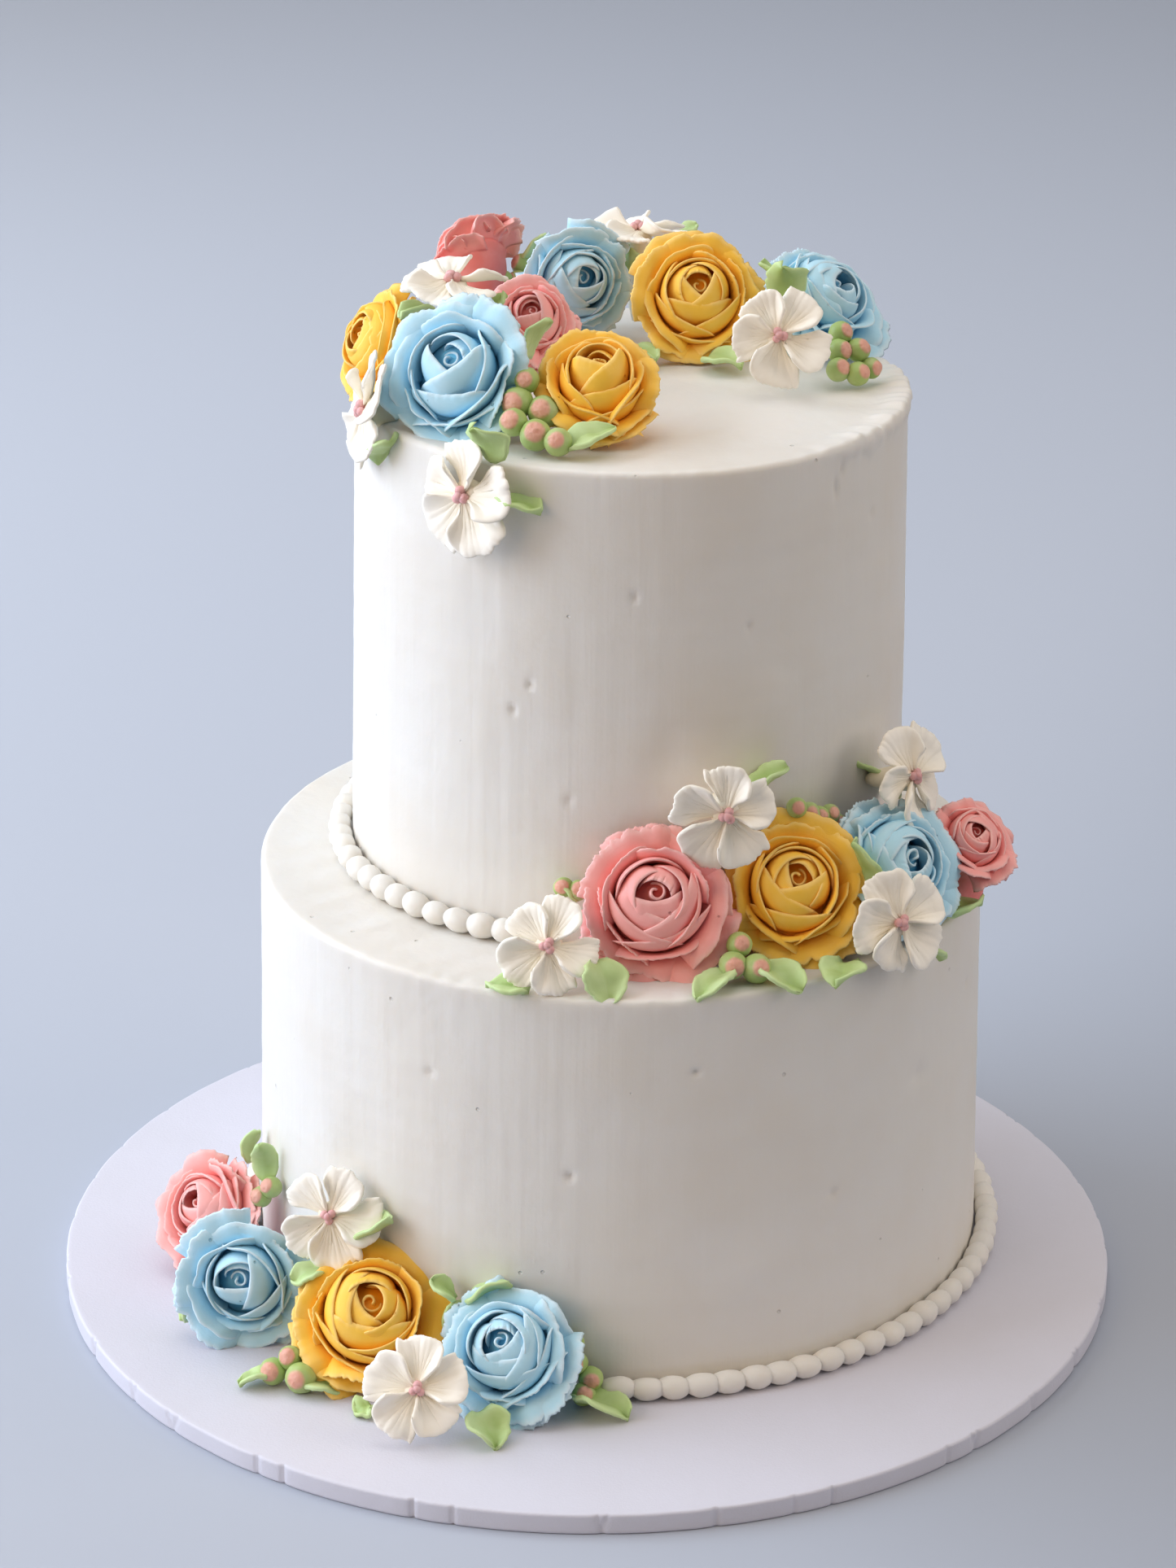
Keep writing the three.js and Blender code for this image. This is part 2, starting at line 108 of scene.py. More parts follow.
# place is (angle, distance out, height up) on its ground; look is (angle, lift); turn is how far
# the plan's petals are turned round the heart, and tall is how high they stand against the plan.
Rose = namedtuple("Rose", "place radius look plan turn tall")
ROSES = {
    "rose_top_blue_front": Rose((-49, 63, 15), 20.5, (-24, 36), "hollow", -10, 0.75),
    "rose_top_yellow_bud": Rose((-12, 45, 13), 16.5, (4, 60), "hollow", 0, 1.15),
    "rose_top_yellow_left": Rose((-88, 70, 11), 16.5, (-72, 26), "open", 100, 1.0),
    "rose_top_pink_back": Rose((-138, 68, 23), 14, (-150, 40), "tight", 60, 1.1),
    "rose_top_blue_back": Rose((-159, 43, 17), 16.8, (24, 12), "tight", -40, 0.8),
    "rose_top_pink_low": Rose((-116, 31, 14), 12.5, (10, 40), "hollow", 40, 0.8),
    "rose_top_yellow_right": Rose((147, 34, 16), 19, (6, 36), "tight", 20, 0.75),
    "rose_top_blue_right": Rose((121, 65, 14), 18.5, (58, 42), "open", 200, 1.0),
    "rose_ledge_pink": Rose((6, 82, 18), 20.3, (0, 33), "open", 0, 1.0),
    "rose_ledge_yellow": Rose((33, 85, 18), 20, (6, 38), "tight", -20, 0.8),
    "rose_ledge_blue": Rose((53, 94, 18), 19.5, (44, 30), "open", 240, 1.0),
    "rose_ledge_pink_small": Rose((69, 104, 18), 12.8, (25, 45), "tight", 100, 0.9),
    "rose_board_pink": Rose((-72, 124.5, 18), 17.5, (-52, 34), "tight", 90, 0.8),
    "rose_board_blue": Rose((-53, 131, 18), 18.5, (-8, 15), "hollow", 30, 0.75),
    "rose_board_yellow": Rose((-35, 119, 18), 21, (2, 46), "open", -60, 1.0),
    "rose_board_blue_right": Rose((-15, 118, 17), 18.5, (-22, 36), "open", 40, 1.0),
}

# stalk is the length of the icing behind a blossom; turn is where its first petal points.
Blossom = namedtuple("Blossom", "place radius look stalk turn")
BLOSSOMS = {
    "blossom_top_flat": Blossom((-79, 50, 32), 15.5, (0, 84), 14, 20),
    "blossom_top_edge": Blossom((-65, 79, 3), 16, (-76, 12), 9, 100),
    "blossom_top_side": Blossom((-33, 81, -9), 15.8, (-42, 8), 8, 88),
    "blossom_top_back": Blossom((178, 58, 28), 15.2, (180, 86), 26, 0),
    "blossom_top_right": Blossom((83, 40.5, 16), 14.2, (4, 26), 14, 112),
    "blossom_ledge_left": Blossom((-12, 96, 12), 14, (-6, 30), 18, 60),
    "blossom_ledge_high": Blossom((19, 83.5, 44), 15, (8, 6), 16, 80),
    "blossom_ledge_right": Blossom((44, 107, 12), 14.6, (34, 18), 10, 96),
    "blossom_ledge_back": Blossom((62, 89.5, 40), 14.4, (52, 18), 15, 100),
    "blossom_board_high": Blossom((-44, 115, 42), 14.4, (-16, 20), 15, 70),
    "blossom_board_front": Blossom((-23, 139, 14), 14, (0, 34), 10, 84),
}

# balls are (angle, out, up, radius); blades are as for the leaves below.
Sprig = namedtuple("Sprig", "balls blades")
BERRIES = {
    "berries_top_front": Sprig(
        [(-31, 54.5, 16, 3.4), (-31.5, 60, 9, 4.3), (-24.5, 57, 9, 4.3), (-27.5, 70, 4, 3.8),
         (-22.5, 64.5, 4.4, 4.3), (-15.5, 66.5, 4, 3.8)],
        [(-15, 67, 3.5, 119, 12, 15, 7.5)]),
    "berries_top_right": Sprig(
        [(98, 58.5, 13, 3.4), (93, 57.5, 8.8, 3.4), (95, 63, 9, 3.4), (88, 57, 4, 3.4),
         (89.5, 62.5, 4, 3.4), (93, 66.5, 4.5, 3)],
        []),
    "berries_top_back": Sprig(
        [(-150, 62, 19, 3.2), (-147, 59, 15, 3.2), (-143, 60, 16, 2.8)],
        [(-151, 63, 19, 66, 54, 12, 6)]),
    "berries_ledge_front": Sprig(
        [(20, 91, 9, 3.5), (17.4, 96, 4, 3.8), (21.7, 96.5, 4, 4.1)],
        [(17.2, 96, 4.5, -42, -16, 14, 9), (22.2, 96, 4.5, 62, -16, 14, 10)]),
    "berries_ledge_behind": Sprig(
        [(38, 76, 38, 2.9), (41.5, 76, 35, 3.2), (44, 76.5, 33.5, 2.9), (47, 77, 33, 2.8),
         (49.5, 77, 29, 2.8)],
        []),
    "berries_ledge_left": Sprig(
        [(-12.7, 73, 19, 2.8), (-9.5, 73, 18.5, 2.8)],
        [(-9, 73, 16, -100, 24, 8, 5)]),
    "berries_board_left": Sprig(
        [(-66, 108.5, 30, 3.1), (-67, 111, 26.5, 3.1)],
        [(-68, 109, 30, -20, 78, 14, 6.5)]),
    "berries_board_front": Sprig(
        [(-43, 139.5, 4, 3.8), (-41.5, 135, 8.5, 3.4), (-39.5, 137, 4.2, 4.4)],
        [(-43.5, 140, 3.5, -64, -9, 9, 7.5), (-39.2, 137.5, 3.6, 84, -8, 12, 8)]),
    "berries_board_right": Sprig(
        [(-6.6, 109, 17, 3.2), (-6.2, 109.5, 11, 3.4), (-3.8, 110.5, 7, 3.4), (-4.9, 113, 3.8, 3.3)],
        [(-6, 113, 4.5, 60, -8, 17, 13)]),
}
# How far apart two touching berries stand, against the sum of their radii.
BERRY_SQUEEZE = 0.87

# Each blade is its foot (angle, out, up), its heading and rise, its length and its width.
LEAVES = {
    "leaf_top_left": [(-88, 55, 22, -30, 8, 16, 8)],
    "leaf_top_rim": [(-54, 79.5, 0, -146, -50, 12, 8)],
    "leaf_top_front": [(-28, 77, 1, -48, 55, 13, 11)],
    "leaf_top_side": [(-26.5, 79, -8, 64, -10, 13, 11)],
    "leaf_top_blue": [(-66, 31, 12, 70, 62, 13, 9)],
    "leaf_top_tall": [(180, 58, 10, -2, 62, 18, 6)],
    "leaf_top_low": [(131, 28, 3, 43, 2, 14, 9)],
    "leaf_top_right": [(119, 50, 18, -12, 52, 16, 10), (119, 50, 18, -75, 56, 14, 6)],
    "leaf_ledge_left": [(-14, 103, 2, -105, 2, 12, 8)],
    "leaf_ledge_front": [(-4, 95, 9, 26, -50, 13, 11)],
    "leaf_ledge_right": [(36, 103, 4, -20, -12, 12, 11)],
    "leaf_ledge_high": [(27, 75, 46, 112, 30, 12, 9)],
    "leaf_ledge_back": [(69.5, 81, 28.5, -58, 44, 20, 11)],
    "leaf_ledge_tall": [(44.5, 95, 18, -48, 68, 17, 9)],
    "leaf_ledge_end": [(60, 101, 3, 118, 4, 14, 11)],
    "leaf_board_left": [(-76, 110, 29, 70, 76, 11, 6.5)],
    "leaf_board_high": [(-40.6, 110, 35, 54, 43, 15, 9)],
    "leaf_board_wall": [(-22.5, 109, 26, 70, 32, 15, 8), (-23, 109.5, 26, -20, -84, 15, 9),
                        (-24, 110, 26, -100, 40, 9, 7)],
    "leaf_board_front": [(-16.5, 131, 7, 21, -28, 13, 11)],
}

# Small leaves tucked between the flowers that have no node of their own.
TUCKED_LEAVES = {
    "tucked_leaves_top": [(-82, 62, 16, -36, -28, 6.5, 6), (-79, 40, 23, 112, 45, 7, 7),
                          (180, 22, 4, 36, 0, 12, 8), (-173, 60, 24, -95, 32, 5.6, 5),
                          (168, 70, 24, 109, 31, 5.8, 5)],
    "tucked_leaves_ledge": [(51, 108.6, 1, 122, -55, 6, 5)],
    "tucked_leaves_board": [(-42.6, 120, 28, -91, -17, 10, 7.5), (-58, 140.5, 14, -76, -72, 10.5, 8),
                            (-30, 135, 3, -63, -22, 5.3, 7)],
}

# The runs of pearls round each tier's foot, in degrees; the sprays cover the rest.
PEARLS = {"pearls_lower": (LOWER, -2, 278), "pearls_upper": (UPPER, 80, 344)}

# Each petal of a rose, in rose radii: which way it stands from the rose's middle (0 is right, 90
# is up), how far out its rim is, the radius that the rim bends with and how many degrees of that
# bend it spans, how high the rim is and how much higher at either end, where its foot stands and
# how deep below the rim, and how far it bulges out.
Petal = namedtuple("Petal", "at reach bend span rise left right stand depth belly")

# An open rose's petals, from its heart out.
OPEN_ROSE = (
    (272, 0.09, 0.50, 92, 0.42, 0.07, 0.09, 0.40, 0.40, 0.07),
    (62, 0.17, 0.25, 168, 0.46, -0.02, -0.04, 0.40, 0.40, 0.05),
    (148, 0.25, 0.34, 160, 0.46, -0.04, -0.02, 0.42, 0.40, 0.05),
    (226, 0.22, 0.70, 88, 0.41, 0.06, -0.04, 0.46, 0.42, 0.07),
    (22, 0.34, 0.42, 146, 0.45, 0.00, -0.05, 0.44, 0.40, 0.05),
    (318, 0.31, 0.90, 84, 0.37, -0.12, 0.09, 0.52, 0.40, 0.07),
    (116, 0.43, 0.52, 140, 0.44, -0.05, 0.00, 0.50, 0.42, 0.04),
    (236, 0.43, 1.00, 80, 0.31, 0.05, -0.08, 0.54, 0.42, 0.06),
    (350, 0.52, 0.72, 110, 0.35, -0.10, 0.02, 0.54, 0.42, 0.04),
    (292, 0.53, 1.10, 78, 0.25, -0.10, 0.08, 0.58, 0.40, 0.06),
    (64, 0.64, 0.76, 112, 0.37, -0.06, -0.02, 0.54, 0.44, 0.02),
    (156, 0.66, 0.80, 106, 0.32, -0.02, -0.05, 0.56, 0.42, 0.02),
    (216, 0.69, 1.10, 76, 0.17, 0.04, -0.07, 0.60, 0.38, 0.04),
    (284, 0.74, 1.20, 74, 0.12, -0.08, 0.05, 0.62, 0.34, 0.04),
    (344, 0.84, 1.00, 86, 0.15, -0.06, 0.02, 0.60, 0.38, 0.02),
    (250, 0.91, 1.10, 80, -0.05, 0.02, -0.05, 0.58, 0.26, 0.03),
    (190, 0.90, 1.00, 88, 0.07, -0.03, 0.00, 0.60, 0.34, 0.02),
    (124, 0.93, 1.04, 88, 0.17, 0.00, -0.03, 0.60, 0.38, 0.01),
    (44, 0.96, 1.04, 88, 0.12, -0.03, 0.00, 0.60, 0.36, 0.01),
    (312, 0.98, 1.10, 80, -0.08, -0.04, 0.03, 0.60, 0.26, 0.02),
    (224, 1.00, 1.06, 74, -0.13, 0.00, -0.02, 0.56, 0.22, 0.02),
    (274, 1.05, 1.10, 74, -0.18, -0.02, 0.00, 0.54, 0.20, 0.02),
    (96, 1.07, 1.10, 70, 0.10, 0.00, -0.03, 0.60, 0.32, 0.00),
)
# The petals lapped round the heart of a rose that is still wrapped.
LAPPED = (
    (158, 0.46, 0.70, 100, 0.46, -0.04, -0.12, 0.50, 0.54, 0.02),
    (22, 0.50, 0.72, 100, 0.48, -0.10, 0.00, 0.52, 0.54, 0.02),
    (284, 0.42, 1.30, 56, 0.30, -0.16, 0.16, 0.56, 0.44, 0.06),
    (206, 0.48, 0.90, 78, 0.32, -0.08, -0.04, 0.54, 0.44, 0.04),
    (100, 0.66, 0.84, 108, 0.40, -0.06, -0.06, 0.56, 0.54, 0.01),
    (340, 0.64, 1.05, 74, 0.34, -0.22, 0.06, 0.58, 0.50, 0.03),
    (236, 0.65, 1.20, 70, 0.14, 0.06, -0.12, 0.60, 0.38, 0.04),
    (300, 0.68, 1.20, 72, 0.12, -0.14, 0.10, 0.60, 0.38, 0.04),
    (178, 0.76, 1.00, 88, 0.26, 0.02, -0.06, 0.60, 0.46, 0.02),
    (14, 0.86, 1.00, 86, 0.24, -0.08, 0.02, 0.60, 0.44, 0.02),
    (128, 0.90, 1.00, 90, 0.30, 0.00, -0.05, 0.60, 0.44, 0.01),
    (62, 0.93, 1.04, 86, 0.28, 0.00, -0.03, 0.60, 0.42, 0.00),
    (196, 0.96, 1.00, 84, 0.08, -0.04, 0.00, 0.60, 0.32, 0.02),
    (330, 0.94, 1.10, 82, -0.04, -0.08, 0.05, 0.58, 0.30, 0.02),
    (258, 0.92, 1.20, 80, -0.08, 0.04, -0.06, 0.58, 0.26, 0.03),
    (298, 1.02, 1.12, 72, -0.16, -0.05, 0.03, 0.56, 0.22, 0.02),
    (92, 1.05, 1.08, 70, 0.22, 0.00, -0.03, 0.60, 0.34, 0.00),
)
# A hollow heart has a high arch behind it, and a tight one is wrapped to the middle.
HOLLOW_ROSE = (
    (84, 0.32, 0.40, 172, 0.54, -0.06, -0.10, 0.42, 0.46, 0.02),
    (70, 0.19, 0.26, 150, 0.46, -0.08, -0.10, 0.36, 0.40, 0.03),
    (246, 0.09, 1.10, 50, 0.50, 0.04, -0.06, 0.40, 0.54, 0.05),
    (318, 0.15, 0.95, 66, 0.54, -0.30, 0.06, 0.44, 0.56, 0.07),
) + LAPPED
TIGHT_ROSE = (
    (70, 0.16, 0.24, 170, 0.52, -0.06, -0.06, 0.38, 0.46, 0.03),
    (206, 0.09, 0.60, 78, 0.50, 0.05, -0.10, 0.40, 0.50, 0.05),
    (308, 0.11, 0.70, 76, 0.54, -0.18, 0.05, 0.42, 0.54, 0.06),
    (136, 0.25, 0.36, 156, 0.52, -0.04, -0.10, 0.42, 0.50, 0.03),
    (20, 0.30, 0.42, 140, 0.52, -0.12, -0.02, 0.44, 0.50, 0.03),
    (252, 0.24, 0.95, 66, 0.44, 0.06, -0.14, 0.46, 0.50, 0.06),
    (90, 0.43, 0.54, 136, 0.50, -0.06, -0.06, 0.48, 0.50, 0.02),
) + LAPPED
ROSE_PLANS = {
    plan: [Petal(*row) for row in rows]
    for plan, rows in (("open", OPEN_ROSE), ("hollow", HOLLOW_ROSE), ("tight", TIGHT_ROSE))
}
# The strip rolled up in a rose's heart: the degrees that it winds through, its radius and how
# much that grows, its height and thickness, and how far the heart lies above the rose's middle.
HEART_SPAN = 420
HEART_REACH = 0.085
HEART_ROLL = 0.055
HEART_RISE = 0.42
HEART_THICKNESS = 0.036
HEART_SHIFT = 0.14
# The icing under the petals: distances and heights from the heart down to the waist.
ROSE_CORE = (
    (0, 0.27), (0.10, 0.26), (0.20, 0.20), (0.34, 0.09), (0.48, -0.06), (0.60, -0.15), (0.65, -0.24))
# The waist below the petals, and the radius of the mound there and at its foot.
ROSE_WAIST = -0.34
WAIST_RADIUS = 0.6
FOOT_RADIUS = 0.5
# What a petal's rim may get: how frilled and how curled it is, and how deep and wide its tear.
FRILLS = (0.6, 1.3, 2.2)
CURLS = (0.02, 0.05, 0.09)
TEAR_DEPTH = 0.06
TEAR_HALF = 0.05
# How far round its foot a petal reaches, against its rim, and how its sides bow.
FOOT_SHARE = 0.72
PETAL_BOW = 1.5
# Half the angle that one of a blossom's petals spans, and the size of the dots in its heart.
BLOSSOM_HALF_SPAN = 41
HEART_DOT = 0.085

# ------------------------ properties


def length_property(name, description, value):
    """A length that a user may change, in metres."""
    return FloatProperty(
        name=name, description=description, default=value, min=0.0, unit="LENGTH", subtype="DISTANCE")


def colour_property(name, description, code):
    """A colour that a user may change."""
    return FloatVectorProperty(
        name=name, description=description, default=tint(code), min=0.0, max=1.0, subtype="COLOR")


class WeddingCakeSizes(bpy.types.PropertyGroup):
    """How the icing is spread and piped."""

    rim_round: length_property("Rim", "Radius of a tier's top edge", 0.0016)
    taper: length_property("Taper", "How much narrower a tier's rim is than its foot", 0.0024)
    petal_root: length_property("Petal root", "Thickness of a rose petal at its root", 0.0017)
    petal_rim: length_property("Petal rim", "Thickness of a rose petal near its rim", 0.0005)
    blossom_petal: length_property("Blossom petal", "Thickness of a blossom's petals", 0.0012)
    leaf: length_property("Leaf", "Thickness of a leaf", 0.0011)
    pearl: length_property("Pearl", "Width of a piped pearl", 0.0070)
    pearl_pitch: length_property("Pearl pitch", "Distance from pearl to pearl", 0.0076)
    crease_pitch: length_property("Crease pitch", "Distance between creases in the board's edge", 0.025)
    tier_steps: IntProperty(
        name="Tier steps", description="Faces round a tier", default=560, min=48)


class WeddingCakeColours(bpy.types.PropertyGroup):
    """The colours of the icings and of the board's paper."""

    icing: colour_property("Icing", "Buttercream on the tiers and pearls", "#E9E6E0")
    paper: colour_property("Paper", "The board's paper", "#D3D2DB")
    blue: colour_property("Blue", "Blue roses", "#B9E4F5")
    yellow: colour_property("Yellow", "Yellow roses", "#FFCB4A")
    pink: colour_property("Pink", "Pink roses", "#FDAEA8")
    cream: colour_property("Cream", "Blossoms", "#FFFAEF")
    heart: colour_property("Heart", "The dots in the blossoms' hearts", "#E9A3A2")
    leaf: colour_property("Leaf", "Leaves", "#BCDB80")
    berry: colour_property("Berry", "Berries", "#A9C272")
    tip: colour_property("Berry tip", "The pink tip of a berry", "#E6AC98")
    floor: colour_property("Floor", "The floor that the cake stands on", "#B4BAC6")


def sizes():
    """The piping sizes in use."""
    return bpy.context.scene.wedding_cake_sizes


def colours():
    """The colours in use."""
    return bpy.context.scene.wedding_cake_colours


# ------------------------ places and small sums


def direction(angle, rise):
    """A unit vector from its angle round the cake and its rise above level."""
    a = math.radians(angle)
    e = math.radians(rise)
    return Vector((math.sin(a) * math.cos(e), -math.cos(a) * math.cos(e), math.sin(e)))


def ground_of(name):
    """The ground that a piece lies on, which its name has as one of its words."""
    return next(ground for ground in GROUNDS if ground in name.split("_"))


def point_on(ground, at, out, up):
    """A point over one of the grounds, in millimetres."""
    return GROUNDS[ground] + direction(at, 0) * out + UP * up


def around(point):
    """How far a point is from the upright axis, and its angle round it from the front."""
    return math.hypot(point.x, point.y), math.degrees(math.atan2(point.x, -point.y))


def facing(look, lift):
    """The turn that takes +Z to a direction and keeps +Y as upright as it can be."""
    outward = direction(look, lift)
    across = UP.cross(outward).normalized()
    return Matrix((across, outward.cross(across), outward)).transposed()


def place_of(name, flower):
    """The matrix that sets a flower down on its ground, looking its own way."""
    return Matrix.Translation(point_on(ground_of(name), *flower.place)) @ facing(*flower.look).to_4x4()


def smooth(low, high, value):
    """0 below low, 1 above high, and a soft step between."""
    t = min(1.0, max(0.0, (value - low) / (high - low)))
    return t * t * (3 - 2 * t)


def wobble(x, y=0.0, z=0.0):
    """Smooth noise from -1 to 1, about 0."""
    return noise.noise(Vector((x, y, z)))


# ------------------------ mesh tools

# How near points are merged, and the step over which a sheet's slope is taken.
MERGE = 1e-4
SLOPE_STEP = 0.01
# How a sheet's rows crowd towards its rim, and the shares of it that round off its ends and sides.
ROW_CROWD = 1.6
END_SHARE = 0.05
SIDE_SHARE = 0.06


def new_mesh():
    """An empty bmesh with the layers that the icings' materials read."""
    bm = bmesh.new()
    bm.verts.layers.float.new("rim")
    bm.verts.layers.float.new("along")
    return bm


def icing_sheet(bm, surface, root, rim, across, rows, mark=0.0):
    """A closed sheet of icing: a grid folded up its front, over its rim and down its back.

    surface(u, v) gives its middle, with u from -1 to 1 across and v from 0 at the root to 1.
    """
    rims = bm.verts.layers.float["rim"]
    alongs = bm.verts.layers.float["along"]
    made = bmesh.ops.create_grid(bm, x_segments=across, y_segments=2 * rows, size=1)["verts"]
    for vert in made:
        u, fold = vert.co.x, vert.co.y
        depth = abs(fold) ** ROW_CROWD
        v = 1 - depth
        point = surface(u, v)
        sideways = surface(u + SLOPE_STEP, v) - surface(u - SLOPE_STEP, v)
        upward = surface(u, v + SLOPE_STEP) - surface(u, v - SLOPE_STEP)
        normal = sideways.cross(upward).normalized()
        half = (root + (rim - root) * v) / 2
        half *= math.sqrt(min(1.0, depth / END_SHARE, v / END_SHARE, (1 - abs(u)) / SIDE_SHARE))
        vert.co = point + normal * math.copysign(half, fold)
        vert[rims] = v
        vert[alongs] = u + mark
    bmesh.ops.remove_doubles(bm, verts=made, dist=MERGE)


def lathe(bm, outline, steps):
    """Spins an outline of (distance, height) round +Z, closes it and returns its vertices."""
    before = set(bm.verts)
    verts = [bm.verts.new((reach, 0, height)) for reach, height in outline]
    edges = [bm.edges.new(pair) for pair in zip(verts, verts[1:])]
    bmesh.ops.spin(
        bm, geom=verts + edges, cent=(0, 0, 0), axis=UP, dvec=(0, 0, 0), angle=2 * math.pi,
        steps=steps, use_merge=True, use_duplicate=False)
    made = [vert for vert in bm.verts if vert not in before]
    bmesh.ops.remove_doubles(bm, verts=made, dist=MERGE)
    return [vert for vert in bm.verts if vert not in before]


def ball(bm, middle, radius, fineness):
    """A round ball, and its vertices."""
    place = Matrix.Translation(middle) @ Matrix.Diagonal((radius, radius, radius, 1))
    return bmesh.ops.create_icosphere(bm, subdivisions=fineness, radius=1, matrix=place)["verts"]


def in_scene(name, data):
    """A new object in the scene."""
    thing = bpy.data.objects.new(name, data)
    bpy.context.scene.collection.objects.link(thing)
    return thing


def finished(bm, name, finish):
    """Turns a bmesh in millimetres into a smooth object in metres."""
    bmesh.ops.recalc_face_normals(bm, faces=bm.faces)
    bmesh.ops.scale(bm, vec=(MM, MM, MM), verts=bm.verts)
    mesh = bpy.data.meshes.new(name)
    bm.to_mesh(mesh)
    bm.free()
    mesh.shade_smooth()
    mesh.materials.append(finish)
    return in_scene(name, mesh)


def dressed(bm, name, finish, slot, *nodes):
    """Finishes a piece that rides with the cake, in place of the nodes given."""
    piece = finished(bm, name, finish)
    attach(piece, BODY)
    if nodes:
        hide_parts(*nodes)


# ------------------------ finishes


class Socket:
    """One output of a node, with arithmetic that adds Math nodes."""

    def __init__(self, finish, out):
        self.finish = finish
        self.out = out

    def maths(self, operation, first, second):
        return self.finish.add("ShaderNodeMath", {"operation": operation}, {0: first, 1: second})

    def __add__(self, other):
        return self.maths("ADD", self, other)

    def __sub__(self, other):
        return self.maths("SUBTRACT", self, other)

    def __rsub__(self, other):
        return self.maths("SUBTRACT", other, self)

    def __mul__(self, other):
        return self.maths("MULTIPLY", self, other)

    __radd__ = __add__
    __rmul__ = __mul__


class Finish:
    """A material built up node by node, with one Principled shader."""

    def __init__(self, name, **constants):
        self.material = bpy.data.materials.new(name)
        self.material.use_nodes = True
        self.tree = self.material.node_tree
        self.shader = self.tree.nodes["Principled BSDF"]
        self.place = self.add("ShaderNodeTexCoord", {}, {}, out="Object")
        for socket, value in constants.items():
            self.give(socket.replace("_", " "), value)

    def add(self, kind, settings, sockets, out=0):
        """Adds a node with its settings and the values or links of its sockets."""
        node = self.tree.nodes.new(kind)
        for key, value in settings.items():
            setattr(node, key, value)
        for key, value in sockets.items():
            self.feed(node.inputs[key], value)
        return Socket(self, node.outputs[out])

    def feed(self, target, value):
        """Sets a socket to a value, or links it."""
        if isinstance(value, Socket):
            self.tree.links.new(value.out, target)
        elif hasattr(value, "__len__") and len(value) == 3 and len(target.default_value) == 4:
            target.default_value = (*value, 1)
        else:
            target.default_value = value

    def give(self, socket, value):
        """Sets or links one of the shader's own sockets."""
        self.feed(self.shader.inputs[socket], value)

    def noise(self, scale, detail=2.0, vector=None, roughness=0.5):
        """Noise about 0.5, with its scale in features a metre."""
        sockets = {"Vector": vector or self.place, "Scale": scale, "Detail": detail}
        return self.add("ShaderNodeTexNoise", {}, sockets | {"Roughness": roughness})

    def stretched(self, x, y, z, vector=None):
        """The place, scaled along each axis."""
        sockets = {0: vector or self.place, 1: (x, y, z)}
        return self.add("ShaderNodeVectorMath", {"operation": "MULTIPLY"}, sockets)

    def step(self, value, low, high):
        """A soft step from 0 at low to 1 at high."""
        sockets = {"Value": value, "From Min": low, "From Max": high}
        return self.add("ShaderNodeMapRange", {"interpolation_type": "SMOOTHSTEP"}, sockets)

    def mix(self, amount, first, second, mode="MIX"):
        """Two colours mixed."""
        settings = {"data_type": "RGBA", "blend_type": mode}
        return self.add("ShaderNodeMix", settings, {0: amount, 6: first, 7: second}, out=2)

    def read(self, attribute):
        """A number kept on the mesh."""
        return self.add("ShaderNodeAttribute", {"attribute_name": attribute}, {}, out="Fac")

    def spots(self, scale, size, share):
        """Scattered round spots: 1 in the middle of each and 0 outside."""
        cell = {"Vector": self.place, "Scale": scale}
        near = self.add("ShaderNodeTexVoronoi", {}, cell, out="Distance")
        pick = self.add("ShaderNodeTexVoronoi", {}, cell, out="Color")
        chance = self.add("ShaderNodeSeparateColor", {}, {0: pick})
        return (1 - self.step(near, size * 0.5, size)) * self.step(chance, 1 - share, 1.001 - share)

    def relief(self, height, depth, strength=1.0, over=None):
        """Bumps of a given depth in metres, on top of others."""
        sockets = {"Strength": strength, "Distance": depth, "Height": height}
        return self.add("ShaderNodeBump", {}, sockets | ({"Normal": over} if over else {}))


def shaded(colour, factor):
    """A colour made darker or lighter."""
    return tuple(min(1.0, part * factor) for part in colour)


def towards(colour, other, amount):
    """A colour moved part of the way to another."""
    return tuple(a + (b - a) * amount for a, b in zip(colour, other))


WHITE = (1.0, 1.0, 1.0)
# What the spread and the piped buttercream share.
BUTTERCREAM = {
    "Subsurface_Weight": 0.18, "Subsurface_Scale": 0.004, "Subsurface_Radius": (1.0, 0.8, 0.6),
    "Specular_IOR_Level": 0.35,
}
# Each rose colour at the petal's root, darker there as painted shade deep in the rose, and at its rim,
# and how strongly the rim shows.
PETAL_TINTS = {
    "blue": ("#76C6E9", "#ECF6FB", 0.5),
    "yellow": ("#FCAE22", "#FFE09A", 0.45),
    "pink": ("#F08780", "#FDD6D1", 0.45),
}


def spread_icing():
    """Smooth buttercream spread with a scraper: faint upright streaks, pores darkened as painted shade,
    and soft mottling.
    """
    body = tuple(colours().icing)
    f = Finish("spread_icing", **BUTTERCREAM)
    mottle = f.noise(28, 4)
    streaks = f.noise(1, 3, f.stretched(260, 260, 9))
    shaded_pores = f.spots(170, 0.11, 0.10)
    tone = f.mix(f.step(mottle, 0.35, 0.75), body, towards(body, tint("#E3DACB"), 0.4))
    # The pores are darkened in the colour: painted shade inside the pits.
    f.give("Base Color", f.mix(shaded_pores * 0.35, tone, shaded(body, 0.62)))
    grain = f.noise(900, 3)
    bumps = f.relief(streaks, 0.00035, 0.45)
    bumps = f.relief(mottle, 0.0022, 0.5, bumps)
    bumps = f.relief(grain, 0.00006, 0.5, bumps)
    f.give("Normal", f.relief(1 - shaded_pores, 0.0005, 0.8, bumps))
    f.give("Roughness", 0.42 + f.noise(60, 2) * 0.14)
    return f.material


